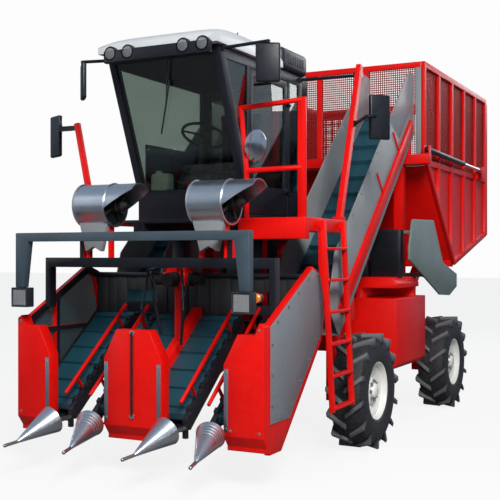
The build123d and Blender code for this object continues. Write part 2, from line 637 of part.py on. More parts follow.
# Ladder at the left, leaning out towards its foot, with a gusset plate at its front stringer
LADDER_TOP_Z = CAB_FLOOR - 20
LADDER_FOOT_X = LADDER_TOP_X + LADDER_LEAN


def ladder_x(z):
    """Place of the ladder's stringers at a height."""
    return LADDER_TOP_X + LADDER_LEAN * (LADDER_TOP_Z - z) / (LADDER_TOP_Z - LADDER_FOOT_Z)


with BuildPart() as ladder:
    for y in LADDER_Y:
        bar((LADDER_TOP_X, y, LADDER_TOP_Z), (LADDER_FOOT_X, y, LADDER_FOOT_Z), LADDER_TUBE, LADDER_TUBE)
        block((PLATFORM_LEFT, LADDER_TOP_X), (y - 20, y + 20), (LADDER_TOP_Z - 60, LADDER_TOP_Z))
    for k in range(LADDER_RUNGS):
        z = LADDER_FOOT_Z + 30 + k * (LADDER_TOP_Z - LADDER_FOOT_Z) / LADDER_RUNGS
        block((ladder_x(z) - 28, ladder_x(z) + 28), LADDER_Y, (z - 12, z + 12))
    gusset_z = (PLATFORM_LOW - 620, PLATFORM_LOW + 60)
    front_plate(
        [
            (ladder_x(gusset_z[0]), gusset_z[0]),
            (ladder_x(gusset_z[1]), gusset_z[1]),
            (PLATFORM_LEFT + 0.5, gusset_z[1]),
            (PLATFORM_LEFT + 0.5, PLATFORM_LOW - 200),
        ],
        (LADDER_Y[0] - 25, LADDER_Y[0] - 15),
    )
save(ladder, "ladder")

# Cab shell with its windows and the door's opening cut
WINDOW_FRONT = 95.0  # windows' front edges, behind the windscreen's line
WINDOW_REAR = CAB_REAR - PILLAR
SHELL = [
    (CAB_SILL_Y, CAB_FLOOR),
    (CAB_REAR, CAB_FLOOR),
    (CAB_REAR, CAB_TOP),
    (CAB_BROW_Y, CAB_TOP),
    (CAB_SILL_Y, CAB_SILL),
]
SIDE_WINDOW_TOP = [(WINDOW_REAR, WINDOW_TOP), (screen_y(WINDOW_TOP) + WINDOW_FRONT, WINDOW_TOP)]
WINDOW_RIGHT = SIDE_WINDOW_TOP + [(screen_y(WINDOW_LOW) + WINDOW_FRONT, WINDOW_LOW), (WINDOW_REAR, WINDOW_LOW)]
WINDOW_QUARTER = [
    (screen_y(QUARTER_LOW) + WINDOW_FRONT, QUARTER_LOW),
    (DOOR_Y[0] - CAB_WALL, QUARTER_LOW),
    (DOOR_Y[0] - CAB_WALL, WINDOW_TOP),
    (screen_y(WINDOW_TOP) + WINDOW_FRONT, WINDOW_TOP),
]
WINDOW_REAR_LEFT = [
    (DOOR_Y[1] + CAB_WALL, WINDOW_LOW),
    (WINDOW_REAR, WINDOW_LOW),
    (WINDOW_REAR, WINDOW_TOP),
    (DOOR_Y[1] + CAB_WALL, WINDOW_TOP),
]
SCREEN_LOW = CAB_SILL + 50.0
SCREEN_HALF = CAB_HALF - 60.0
BACK_HALF = CAB_HALF - 100.0
BACK_LOW = WINDOW_LOW + 90.0


def screen_slab(low, high):
    """Side outline of a slab along the windscreen, between two depths behind its outer face."""
    return [
        (screen_y(SCREEN_LOW) + low, SCREEN_LOW),
        (screen_y(SCREEN_LOW) + high, SCREEN_LOW),
        (screen_y(SCREEN_TOP) + high, SCREEN_TOP),
        (screen_y(SCREEN_TOP) + low, SCREEN_TOP),
    ]


with BuildPart() as cab_frame:
    side_plate(SHELL, (-CAB_HALF, CAB_HALF))
    side_plate(
        [
            (CAB_SILL_Y + CAB_WALL, CAB_FLOOR + DECK),
            (CAB_REAR - CAB_WALL, CAB_FLOOR + DECK),
            (CAB_REAR - CAB_WALL, CAB_TOP - CAB_WALL),
            (screen_y(CAB_TOP - CAB_WALL) + CAB_WALL + 5, CAB_TOP - CAB_WALL),
            (CAB_SILL_Y + CAB_WALL, CAB_SILL + 12),
        ],
        (-CAB_HALF + CAB_WALL, CAB_HALF - CAB_WALL),
        Mode.SUBTRACT,
    )
    side_plate(screen_slab(-PILLAR, PILLAR), (-SCREEN_HALF, SCREEN_HALF), Mode.SUBTRACT)
    side_plate(WINDOW_RIGHT, (-CAB_HALF - 10, -CAB_HALF + CAB_WALL + 10), Mode.SUBTRACT)
    for window in (WINDOW_QUARTER, WINDOW_REAR_LEFT):
        side_plate(window, (CAB_HALF - CAB_WALL - 10, CAB_HALF + 10), Mode.SUBTRACT)
    block((CAB_HALF - CAB_WALL - 10, CAB_HALF + 10), DOOR_Y, (DOOR_LOW, WINDOW_TOP), Mode.SUBTRACT)
    back_y = (CAB_REAR - CAB_WALL - 10, CAB_REAR + 10)
    block((-BACK_HALF, BACK_HALF), back_y, (BACK_LOW, WINDOW_TOP), Mode.SUBTRACT)
    for z in HINGE_Z:
        block((CAB_HALF, HINGE_X + HINGE_RADIUS), (HINGE_Y, HINGE_Y + 28), (z, z + 20))
        pin((HINGE_X, HINGE_Y, z), (HINGE_X, HINGE_Y, z + 60), HINGE_PIN)
    for z in HINGE_Z:
        gap_x = (CAB_HALF - 1, HINGE_X - HINGE_RADIUS)
        block(gap_x, (HINGE_Y - 8, HINGE_Y + 8), (z - 1, z + 21), Mode.SUBTRACT)
save(cab_frame, "cab_frame")

# Fixed panes of the cab
with BuildPart() as cab_glass:
    side_plate(screen_slab(14, 14 + GLASS), (-SCREEN_HALF, SCREEN_HALF))
    side_plate(WINDOW_RIGHT, (-CAB_HALF + GLASS_SET, -CAB_HALF + GLASS_SET + GLASS))
    for window in (WINDOW_QUARTER, WINDOW_REAR_LEFT):
        side_plate(window, (CAB_HALF - GLASS_SET - GLASS, CAB_HALF - GLASS_SET))
    back_y = (CAB_REAR - GLASS_SET - GLASS, CAB_REAR - GLASS_SET)
    block((-BACK_HALF, BACK_HALF), back_y, (BACK_LOW, WINDOW_TOP))
save(cab_glass, "cab_glass")

# Door, hinged at its rear edge
DOOR_PANE_Y = (DOOR_Y[0] + DOOR_STILE, DOOR_Y[1] - DOOR_STILE)
DOOR_PANE_Z = (DOOR_LOW + DOOR_PANEL, WINDOW_TOP - DOOR_STILE)
with BuildPart() as door_frame:
    leaf_y = (DOOR_Y[0] + DOOR_GAP, DOOR_Y[1] - DOOR_GAP)
    block((CAB_HALF - CAB_WALL, CAB_HALF), leaf_y, (DOOR_LOW + DOOR_GAP, WINDOW_TOP - DOOR_GAP))
    block((CAB_HALF - CAB_WALL - 10, CAB_HALF + 10), DOOR_PANE_Y, DOOR_PANE_Z, Mode.SUBTRACT)
    block((CAB_HALF, CAB_HALF + 35), (DOOR_Y[0] + 40, DOOR_Y[0] + 55), (DOOR_LOW + 475, DOOR_LOW + 615))
    for z in HINGE_Z:
        block((CAB_HALF, HINGE_X + HINGE_RADIUS), (HINGE_Y - 57, HINGE_Y - 5), (z + 21, z + 57))
        rod((HINGE_X, HINGE_Y, z + 21), (HINGE_X, HINGE_Y, z + 57), HINGE_RADIUS, sides=TUBE_SIDES)
        bore = (HINGE_X, HINGE_Y, z + 15), (HINGE_X, HINGE_Y, z + 70)
        rod(*bore, HINGE_PIN + RUN_GAP, Mode.SUBTRACT, TUBE_SIDES)
save(door_frame, "door_frame")
with BuildPart() as door_glass:
    block((CAB_HALF - GLASS_SET - GLASS, CAB_HALF - GLASS_SET), DOOR_PANE_Y, DOOR_PANE_Z)
save(door_glass, "door_glass")

ROOF_HALF = CAB_HALF + ROOF_OVER
with BuildPart() as cab_roof:
    block((-ROOF_HALF, ROOF_HALF), ROOF_Y, (CAB_TOP, CAB_TOP + ROOF_THICK))
    chamfer(cab_roof.edges().filter_by(Axis.Z), 50)
    chamfer(cab_roof.faces().sort_by(Axis.Z)[-1].edges(), 60)
save(cab_roof, "cab_roof")

# Cooler box behind the roof
with BuildPart() as roof_box:
    side_plate(
        [
            (ROOF_Y[1], CAB_TOP),
            (ROOF_Y[1] + 230, CAB_TOP),
            (ROOF_Y[1] + 230, CAB_TOP - 160),
            (CAB_REAR, CAB_TOP - 160),
            (CAB_REAR, CAB_TOP),
        ],
        (-CAB_HALF + 60, CAB_HALF - 60),
    )
    side_plate(
        [
            (ROOF_Y[1], CAB_TOP),
            (ROOF_Y[1] + 230, CAB_TOP),
            (ROOF_Y[1] + 170, CAB_TOP + 90),
            (ROOF_Y[1], CAB_TOP + 90),
        ],
        (-CAB_HALF + 60, CAB_HALF - 60),
    )
save(roof_box, "roof_box")

# Lamp bar along the roof's front edge, with a lobe round each lamp
with BuildPart() as lamp_bar:
    bar_y = (ROOF_Y[0] - 50, ROOF_Y[0])
    block((-ROOF_HALF + 20, ROOF_HALF - 20), bar_y, (CAB_TOP + 10, CAB_TOP + 75))
    for x in LAMP_X:
        rod((x, bar_y[0], LAMP_Z), (x, bar_y[1], LAMP_Z), LAMP_RADIUS + LAMP_RING, sides=TUBE_SIDES)
        rod((x, bar_y[0] - 10, LAMP_Z), (x, bar_y[1] - 20, LAMP_Z), LAMP_RADIUS, Mode.SUBTRACT, TUBE_SIDES)
save(lamp_bar, "lamp_bar")
with BuildPart() as roof_lamps:
    for x in LAMP_X:
        rod((x, ROOF_Y[0] - 46, LAMP_Z), (x, ROOF_Y[0] - 20, LAMP_Z), LAMP_RADIUS - 1, sides=TUBE_SIDES)
save(roof_lamps, "roof_lamps")

SEAT_Y = CAB_REAR - 260.0
with BuildPart() as seat:
    block((-150, 150), (SEAT_Y - 290, SEAT_Y + 10), (CAB_FLOOR + DECK, CAB_FLOOR + 330))
    block((-240, 240), (SEAT_Y - 450, SEAT_Y + 30), (CAB_FLOOR + 330, CAB_FLOOR + 450))
    block((-230, 230), (SEAT_Y - 20, SEAT_Y + 100), (CAB_FLOOR + 450, CAB_FLOOR + 1050))
save(seat, "seat")

COLUMN_Y = CAB_SILL_Y + 140.0
with BuildPart() as steering_column:
    bar((0, COLUMN_Y, CAB_FLOOR + DECK + 60), (0, COLUMN_Y + 88, CAB_FLOOR + 760), 90, 90)
    block((-75, 75), (COLUMN_Y - 75, COLUMN_Y + 70), (CAB_FLOOR + DECK, CAB_FLOOR + 160))
    with BuildSketch(Plane((0, COLUMN_Y + 85, CAB_FLOOR + 746), x_dir=(1, 0, 0), z_dir=(0, 0.45, 0.9))):
        RegularPolygon(204, 16)
        RegularPolygon(176, 16, mode=Mode.SUBTRACT)
        Rectangle(360, 44)
        RegularPolygon(48, TUBE_SIDES)
    extrude(amount=26)
save(steering_column, "steering_column")

# Mirrors: place of the middle, turn about Z, height
TOP_MIRROR_Y = CAB_BROW_Y + 5.0
TOP_MIRROR_Z = CAB_TOP - 190.0
TOP_MIRROR_HIGH = 300.0
SIDE_MIRROR_Z = CAB_FLOOR + 870.0
LEFT_TOE = 45.0
RIGHT_TOE = -28.0


def toe_reach(toe):
    """Half the width along X of a mirror that is turned by its toe."""
    return (MIRROR_WIDE * cos(radians(toe)) + MIRROR_DEEP * abs(sin(radians(toe)))) / 2


LEFT_MIRROR = (MIRROR_OUT - toe_reach(LEFT_TOE), WING_REAR - 10.0, SIDE_MIRROR_Z)
RIGHT_MIRROR = (-MIRROR_OUT + toe_reach(RIGHT_TOE), RIGHT_POST_Y + 44.0, SIDE_MIRROR_Z - 80.0)
MIRRORS = [
    ((960.0, TOP_MIRROR_Y, TOP_MIRROR_Z), 20.0, TOP_MIRROR_HIGH),
    ((-780.0, TOP_MIRROR_Y, TOP_MIRROR_Z), -50.0, TOP_MIRROR_HIGH),
    (LEFT_MIRROR, LEFT_TOE, MIRROR_HIGH),
    (RIGHT_MIRROR, RIGHT_TOE, MIRROR_HIGH),
]
with BuildPart() as mirror_arms:
    for middle, toe, high in MIRRORS:
        with Locations(Location(middle, (0, 0, toe))):
            Box(MIRROR_WIDE, MIRROR_DEEP, high)
    for side, middle in ((1, MIRRORS[0][0]), (-1, MIRRORS[1][0])):
        pad_y = (TOP_MIRROR_Y + 35, TOP_MIRROR_Y + 75)
        arm_z = CAB_TOP - 25
        block(span(side, CAB_HALF, CAB_HALF + 25), pad_y, (arm_z - 20, arm_z + 20))
        rod((side * (CAB_HALF + 15), TOP_MIRROR_Y + 55, arm_z), (middle[0], TOP_MIRROR_Y, arm_z), MIRROR_ARM)
        neck_z = (TOP_MIRROR_Z + TOP_MIRROR_HIGH / 2 - 5, CAB_TOP - 15)
        block((middle[0] - 14, middle[0] + 14), (TOP_MIRROR_Y - 14, TOP_MIRROR_Y + 14), neck_z)
    # Arm of the left mirror, from the leaning post round the glass to the housing's back
    post_out = POST_LEAN_X + LEAN_WIDE / 2
    post_y = lean_y(SIDE_MIRROR_Z)
    block((post_out, post_out + 24), (post_y - 22, post_y + 22), (SIDE_MIRROR_Z - 25, SIDE_MIRROR_Z + 25))
    elbow = (LEFT_MIRROR[0] - 71, LEFT_MIRROR[1] - 113, SIDE_MIRROR_Z)
    rod((post_out + 14, post_y, SIDE_MIRROR_Z), elbow, MIRROR_ARM)
    rod(elbow, (LEFT_MIRROR[0] - 18, LEFT_MIRROR[1] - 39, SIDE_MIRROR_Z), MIRROR_ARM)
    with Locations(elbow):
        Box(20, 20, 20)
    arm_z = (RIGHT_MIRROR[2] + 38, RIGHT_MIRROR[2] + 82)
    arm_end = RIGHT_MIRROR[0] + 70
    seat = [(right_post_out(arm_z[0]), arm_z[0]), (right_post_out(arm_z[1]), arm_z[1])]
    front_plate(seat + [(arm_end, arm_z[1]), (arm_end, arm_z[0])], (RIGHT_POST_Y - 10, RIGHT_POST_Y + 10))
    # Grab rail from the cab's rear corner to the post behind the door
    rail_z = CAB_TOP - 30
    rail_y = lean_y(rail_z)
    post_in = POST_LEAN_X - LEAN_WIDE / 2
    block((CAB_HALF, CAB_HALF + 20), (CAB_REAR - 60, CAB_REAR - 20), (rail_z - 20, rail_z + 20))
    block((post_in - 16, post_in), (rail_y - 25, rail_y + 25), (rail_z - 25, rail_z + 25))
    rod((CAB_HALF + 10, CAB_REAR - 40, rail_z), (post_in - 6, rail_y, rail_z), MIRROR_ARM)
save(mirror_arms, "mirror_arms")

with BuildPart() as mirror_glasses:
    for middle, toe, high in MIRRORS:
        with Locations(Location(middle, (0, 0, toe))):
            with Locations((0, MIRROR_DEEP / 2 + 2, 0)):
                Box(MIRROR_WIDE - 24, 4, high - 24)
save(mirror_glasses, "mirror_glasses")

# Elevators: casings with a floor and two walls
LIFT_END = LIFT_RUN.length
HOOD_START = LIFT_END - HOOD_RUN
WALL = [
    on_lift(0, -LIFT_DEPTH),
    on_lift(LIFT_END - 20, -LIFT_DEPTH),
    on_lift(LIFT_END, HOOD_LOW),
    on_lift(HOOD_START + 140, HOOD_LOW),
    on_lift(HOOD_START, LIFT_HIGH),
    on_lift(420, LIFT_HIGH),
    on_lift(0, LIFT_FOOT_HIGH),
]
FLOOR_TOP = LIFT_WALL - LIFT_DEPTH
FLOOR = [WALL[0], WALL[1], on_lift(LIFT_END - 20, FLOOR_TOP), on_lift(0, FLOOR_TOP)]
HOOD = [
    WALL[4],
    on_lift(LIFT_END + 285, LIFT_HIGH),
    (BIN_FRONT - 40, on_lift(LIFT_END + 285, LIFT_HIGH)[1] - 20),
    (BIN_FRONT - 40, WALL[2][1] - 170),
    WALL[2],
    WALL[3],
]
with BuildPart() as elevator_casings:
    for side in (1, -1):
        side_plate(FLOOR, span(side, LIFT_INNER, LIFT_OUTER))
        side_plate(WALL, span(side, LIFT_INNER, LIFT_INNER + LIFT_WALL))
        side_plate(WALL, span(side, LIFT_OUTER - LIFT_WALL, LIFT_OUTER))
save(elevator_casings, "elevator_casings")

with BuildPart() as elevator_hoods:
    for side in (1, -1):
        side_plate(HOOD, span(side, LIFT_INNER, LIFT_INNER + LIFT_WALL))
        side_plate(HOOD, span(side, LIFT_OUTER - LIFT_WALL, LIFT_OUTER))
save(elevator_hoods, "elevator_hoods")

with BuildPart() as elevator_belts:
    for side in (1, -1):
        belt_x = span(side, LIFT_INNER + LIFT_WALL, LIFT_OUTER - LIFT_WALL)
        belt = [
            on_lift(40, -BELT_HALF),
            on_lift(LIFT_END - 20, -BELT_HALF),
            on_lift(LIFT_END + 10, 0),
            on_lift(LIFT_END - 20, BELT_HALF),
            on_lift(40, BELT_HALF),
            on_lift(10, 0),
        ]
        side_plate(belt, belt_x)
        for k in range(LIFT_CLEATS):
            run = 80 + k * (LIFT_END - 160) / (LIFT_CLEATS - 1)
            cleat = [
                on_lift(run - 10, BELT_HALF),
                on_lift(run + 10, BELT_HALF),
                on_lift(run + 6, BELT_HALF + LIFT_CLEAT),
                on_lift(run - 6, BELT_HALF + LIFT_CLEAT),
            ]
            side_plate(cleat, (belt_x[0] + 30, belt_x[1] - 30))
save(elevator_belts, "elevator_belts")

# Channel along the outer wall of each elevator
with BuildPart() as elevator_channels:
    for side in (1, -1):
        channel = [
            on_lift(150, -100),
            on_lift(LIFT_END - 60, -100),
            on_lift(LIFT_END - 60, 10),
            on_lift(150, 10),
        ]
        side_plate(channel, span(side, LIFT_OUTER, LIFT_OUTER + CHANNEL))
save(elevator_channels, "elevator_channels")

# Guard of the belt drive, outboard of the bin's left side, on two brackets from the gantry's post
GUARD_X = (BIN_HALF + 12.0, BIN_HALF + 36.0)
GUARD_Y = HOOP_Y[0] - 390.0
with BuildPart() as belt_guard:
    side_plate(
        [
            (GUARD_Y, HOOP_LOW + 740),
            (GUARD_Y + 740, HOOP_LOW + 755),
            (GUARD_Y + 1115, HOOP_LOW + 295),
            (GUARD_Y + 1700, HOOP_LOW + 160),
            (GUARD_Y + 1700, HOOP_LOW + 10),
            (GUARD_Y + 1390, HOOP_LOW - 80),
            (GUARD_Y + 1000, HOOP_LOW - 60),
            (GUARD_Y - 110, HOOP_LOW + 335),
            (GUARD_Y - 110, HOOP_LOW + 460),
        ],
        GUARD_X,
    )
    for z in (HOOP_LOW + 150, HOOP_LOW + 600):
        block((HOOP_POST_X + HOOP_TUBE / 2, GUARD_X[0]), (HOOP_Y[0] + 20, HOOP_Y[0] + 80), (z, z + 40))
save(belt_guard, "belt_guard")

# Header: frame with its two side rings
PANEL_BACK = PANEL_Y + PANEL_DEEP
SIDE_REAR = PIVOT_Y - 120.0
SIDE_TOP = PIVOT_Z + 300.0
SIDE_OUTLINE = [
    (PANEL_BACK, HEADER_LOW),
    (PANEL_BACK + 200, HEADER_LOW),
    (SIDE_REAR - 66, PIVOT_Z - 303),
    (SIDE_REAR, PIVOT_Z - 100),
    (SIDE_REAR - 90, SIDE_TOP - 60),
    (SIDE_REAR - 260, SIDE_TOP),
    (PANEL_BACK, PANEL_TOP + 75),
]
SHEET_OUTLINE = [
    (PANEL_BACK, PANEL_LOW + 90),
    (PANEL_BACK + 330, PANEL_LOW + 90),
    (SIDE_REAR - 70, PIVOT_Z - 225),
    (SIDE_REAR - 30, PIVOT_Z - 90),
    (SIDE_REAR - 110, SIDE_TOP - 75),
    (SIDE_REAR - 262, SIDE_TOP - 22),
    (PANEL_BACK, PANEL_TOP + 50),
]
RING_WIDE = 45.0
RING_X = (HEADER_HALF - 50, HEADER_HALF - SHEET)
KEEL = [
    (PANEL_BACK, PANEL_LOW),
    (PANEL_BACK + 320, PANEL_LOW),
    (PANEL_BACK + 520, PANEL_LOW + 170),
    (REAR_TUBE_Y[0], REAR_TUBE_Z[0] - 80),
    (REAR_TUBE_Y[0], REAR_TUBE_Z[1] - 20),
    (REAR_TUBE_Y[0] - 110, REAR_TUBE_Z[1] - 20),
    (PANEL_BACK, PANEL_LOW + 200),
]
with BuildPart() as header_frame:
    for side in (1, -1):
        ring = span(side, *RING_X)
        side_plate(SIDE_OUTLINE, ring)
        with BuildSketch(Plane.YZ.offset(ring[0])) as opening:
            with BuildLine():
                Polyline(*SHEET_OUTLINE, close=True)
            make_face()
            offset(amount=-RING_WIDE, kind=Kind.INTERSECTION, mode=Mode.REPLACE)
        extrude(opening.sketch, amount=ring[1] - ring[0], mode=Mode.SUBTRACT)
        block(ring, (PANEL_BACK + 330, PANEL_BACK + 375), (PANEL_LOW + 100, PANEL_TOP + 200))
        block(ring, (PANEL_BACK + 20, SIDE_REAR - 60), (PIVOT_Z - 260, PIVOT_Z - 220))
        # Carrier of the outer belt, down the side
        at = side * (HEADER_HALF - 60)
        bar((at, *on_belt(-30, 0)), (at, *on_belt(BELT_RUN.length + 60, 0)), 20, 110)
        # Upright to the top tube, and the post and arm of the lamp beam
        upright = span(side, RING_X[0] - 50, RING_X[0])
        block(upright, TOP_TUBE_Y, (PANEL_TOP + 135, TOP_TUBE_Z[1]))
        post = span(side, 680, 720)
        block(post, TOP_TUBE_Y, (TOP_TUBE_Z[0], BEAM_Z + 25))
        block(post, (BEAM_Y + BEAM_SIZE, TOP_TUBE_Y[0]), (BEAM_Z - 25, BEAM_Z + 25))
        # Lugs of the hinge, and the ears of the lift ram
        lug = span(side, RAIL_X - LUG_PLATE, RAIL_X + LUG_PLATE)
        block(lug, (REAR_TUBE_Y[1], PIVOT_Y), (PIVOT_Z - 40, PIVOT_Z + 40))
        block(lug, REAR_TUBE_Y, (REAR_TUBE_Z[0], PIVOT_Z + 40))
        rod((lug[0], PIVOT_Y, PIVOT_Z), (lug[1], PIVOT_Y, PIVOT_Z), PIVOT_EYE, sides=TUBE_SIDES)
        for low_x in (LIFT_RAM_X - EAR_OUT, LIFT_RAM_X + EAR_IN):
            ear_y = (LIFT_RAM_FRONT[0] - 65, LIFT_RAM_FRONT[0] + 35)
            ear_z = (LIFT_RAM_FRONT[1] - 35, LIFT_RAM_FRONT[1] + 30)
            block(span(side, low_x, low_x + EAR_THICK), ear_y, ear_z)
        # Fan's stand
        for x in (side * ROW_X - 120, side * ROW_X + 100):
            cradle = FAN_FOOT + 30 * FAN_RISE
            stand = [(FAN_Y + 30, cradle), (FAN_Y, FAN_FOOT), (FAN_Y - 30, cradle)]
            side_plate(stand + [(FAN_Y - 30, TOP_TUBE_Z[1]), (FAN_Y + 30, TOP_TUBE_Z[1])], (x, x + 20))
    tube_half = RING_X[0]
    block((-tube_half, tube_half), REAR_TUBE_Y, REAR_TUBE_Z)
    block((-tube_half, tube_half), TOP_TUBE_Y, TOP_TUBE_Z)
    yoke = LIFT_RAM_X + EAR_OUT
    yoke_y = (LIFT_RAM_FRONT[0] - 100, LIFT_RAM_FRONT[0] - 60)
    block((-yoke, yoke), yoke_y, (LIFT_RAM_FRONT[1] - 55, LIFT_RAM_FRONT[1] + 30))
    side_plate(KEEL, (-KEEL_HALF, KEEL_HALF))
    block((-30, 30), (GEARBOX_Y - 30, GEARBOX_Y + 30), (PANEL_LOW + 500, GEARBOX_Z[0]))
    for at in (RAIL_X, -RAIL_X):
        ends = (at - 60, PIVOT_Y, PIVOT_Z), (at + 60, PIVOT_Y, PIVOT_Z)
        rod(*ends, PIVOT_PIN + RUN_GAP, Mode.SUBTRACT, TUBE_SIDES)
save(header_frame, "header_frame")

# Front panels: folded pans open to the rear, each over a sill that slopes back
OUTER_PANEL = [
    (PANEL_INNER, PANEL_LOW),
    (HEADER_HALF, PANEL_LOW),
    (HEADER_HALF, PANEL_TOP + 60),
    (HEADER_HALF - 40, PANEL_TOP + 85),
    (HEADER_HALF - 75, PANEL_TOP),
    (PANEL_INNER + PANEL_CHAMFER, PANEL_TOP),
    (PANEL_INNER, PANEL_SHOULDER),
]
CENTRE_PANEL = [
    (-CENTRE_HALF, PANEL_LOW),
    (CENTRE_HALF, PANEL_LOW),
    (CENTRE_HALF, PANEL_SHOULDER),
    (CENTRE_HALF - PANEL_CHAMFER, PANEL_TOP),
    (-CENTRE_HALF + PANEL_CHAMFER, PANEL_TOP),
    (-CENTRE_HALF, PANEL_SHOULDER),
]
SILL = [
    (PANEL_Y, PANEL_LOW),
    (PANEL_Y + 60, PANEL_LOW - 80),
    (PANEL_Y + 60, PANEL_LOW - 115),
    (PANEL_BACK, PANEL_LOW - 115),
    (PANEL_BACK, PANEL_LOW),
]
with BuildPart() as front_panels:
    for outline in (OUTER_PANEL, CENTRE_PANEL, [(-x, z) for x, z in OUTER_PANEL]):
        front_plate(outline, (PANEL_Y, PANEL_BACK))
        with BuildSketch(Plane((0, PANEL_BACK, 0), x_dir=(1, 0, 0), z_dir=(0, -1, 0))) as hollow:
            with BuildLine():
                Polyline(*outline, close=True)
            make_face()
            offset(amount=-SHEET, kind=Kind.INTERSECTION, mode=Mode.REPLACE)
        extrude(hollow.sketch, amount=PANEL_DEEP - SHEET, mode=Mode.SUBTRACT)
        ends = [x for x, z in outline]
        side_plate(SILL, (min(ends), max(ends)))
save(front_panels, "front_panels")

with BuildPart() as wear_strips:
    for x in (PANEL_INNER + 6, CENTRE_HALF - 41):
        for side in (1, -1):
            block(span(side, x, x + 35), (PANEL_Y - 6, PANEL_Y), (PANEL_LOW + 30, PANEL_SHOULDER - 30))
save(wear_strips, "wear_strips")

with BuildPart() as side_sheets:
    for side in (1, -1):
        side_plate(SHEET_OUTLINE, span(side, HEADER_HALF - SHEET, HEADER_HALF))
save(side_sheets, "side_sheets")

# Divider cones, each with the steel bar that runs out under its point
with BuildPart() as divider_cones:
    for row in (ROW_X, -ROW_X):
        for side in (1, -1):
            base = Vector(row + side * CONE_BASE[0], CONE_BASE[1], CONE_BASE[2])
            point = Vector(row + side * CONE_POINT[0], CONE_POINT[1], CONE_POINT[2])
            with BuildSketch(Plane(base, z_dir=point - base)) as ring:
                RegularPolygon(CONE_RADIUS, CONE_SIDES)
            reach = (point - base).length
            extrude(ring.sketch, amount=reach, taper=degrees(atan2(CONE_RADIUS - POINT_RADIUS, reach)))
            under = (base.X, base.Y + 10, base.Z - CONE_RADIUS + 22)
            rod(under, (row + side * BAR_POINT[0], FRONT_Y, BAR_POINT[1]), POINT_RADIUS)
            stub = row + side * CHAIN_X
            rod((stub, CHAIN_FRONT, CONE_BASE[2]), (stub, CONE_BASE[1] - 40, CONE_BASE[2]), 18)
    block((-HEADER_HALF, HEADER_HALF), (FRONT_Y - 100, FRONT_Y), (0, 2 * PANEL_LOW), Mode.SUBTRACT)
save(divider_cones, "divider_cones")

with BuildPart() as header_belts:
    inner = (KEEL_HALF, ROW_X - CHAIN_X - CHAIN_WIDE / 2)
    outer = (ROW_X + CHAIN_X + CHAIN_WIDE / 2, HEADER_HALF - 70)
    for low_x, high_x in (inner, outer):
        for side in (1, -1):
            belt_x = span(side, low_x, high_x)
            run_end = BELT_RUN.length
            belt = [
                on_belt(0, -BELT_HALF),
                on_belt(run_end, -BELT_HALF),
                on_belt(run_end + 32, -32),
                on_belt(run_end + 45, 0),
                on_belt(run_end + 32, 32),
                on_belt(run_end, BELT_HALF),
                on_belt(0, BELT_HALF),
                on_belt(-20, 0),
            ]
            side_plate(belt, belt_x)
            for k in range(BELT_CLEATS):
                run = 60 + k * (run_end - 120) / (BELT_CLEATS - 1)
                cleat = [
                    on_belt(run - 9, BELT_HALF),
                    on_belt(run + 9, BELT_HALF),
                    on_belt(run + 5, BELT_HALF + CLEAT),
                    on_belt(run - 5, BELT_HALF + CLEAT),
                ]
                side_plate(cleat, (belt_x[0] + 15, belt_x[1] - 15))
save(header_belts, "header_belts")

# Chain beams along both sides of each row's throat, with the chain's links along their top
CHAIN_TOP = 55.0
with BuildPart() as chain_beams:
    for row in (ROW_X, -ROW_X):
        for side in (1, -1):
            at = row + side * CHAIN_X
            beam_x = (at - CHAIN_WIDE / 2, at + CHAIN_WIDE / 2)
            run_end = BELT_RUN.length
            links = []
            for k in range(CHAIN_LINKS):
                run = (k + 0.15) * run_end / CHAIN_LINKS
                links += [on_belt(run, CHAIN_TOP), on_belt(run + 8, CHAIN_TOP + 22)]
                links += [on_belt(run + 48, CHAIN_TOP + 22), on_belt(run + 56, CHAIN_TOP)]
            beam = [on_belt(run_end, -CHAIN_TOP), on_belt(-70, -CHAIN_TOP), on_belt(-70, CHAIN_TOP)]
            side_plate(beam + links + [on_belt(run_end, CHAIN_TOP)], beam_x)
            block(beam_x, (CHAIN_FRONT, CHAIN_FRONT + 30), (PANEL_LOW - 70, PANEL_LOW + 70))
save(chain_beams, "chain_beams")

# Guard rods above the chain beams
GUARD_RISE = 190.0
with BuildPart() as guard_rods:
    for row in (ROW_X, -ROW_X):
        for side in (1, -1):
            at = row + side * CHAIN_X
            rod((at, *on_belt(-20, GUARD_RISE)), (at, *on_belt(BELT_RUN.length - 40, GUARD_RISE)), 16)
            for link in (1, CHAIN_LINKS - 2):
                run = (link + 0.15) * BELT_RUN.length / CHAIN_LINKS + 28
                bar((at, *on_belt(run, CHAIN_TOP + 22)), (at, *on_belt(run, GUARD_RISE)), 22, 22)
save(guard_rods, "guard_rods")

with BuildPart() as header_gearbox:
    mid_z = (GEARBOX_Z[0] + GEARBOX_Z[1]) / 2
    block((-110, 110), (GEARBOX_Y - 90, GEARBOX_Y + 90), GEARBOX_Z)
    rod((-230, GEARBOX_Y, mid_z), (230, GEARBOX_Y, mid_z), 48, sides=TUBE_SIDES)
    rod((0, GEARBOX_Y - 200, mid_z), (0, GEARBOX_Y - 90, mid_z), 55, sides=TUBE_SIDES)
save(header_gearbox, "header_gearbox")

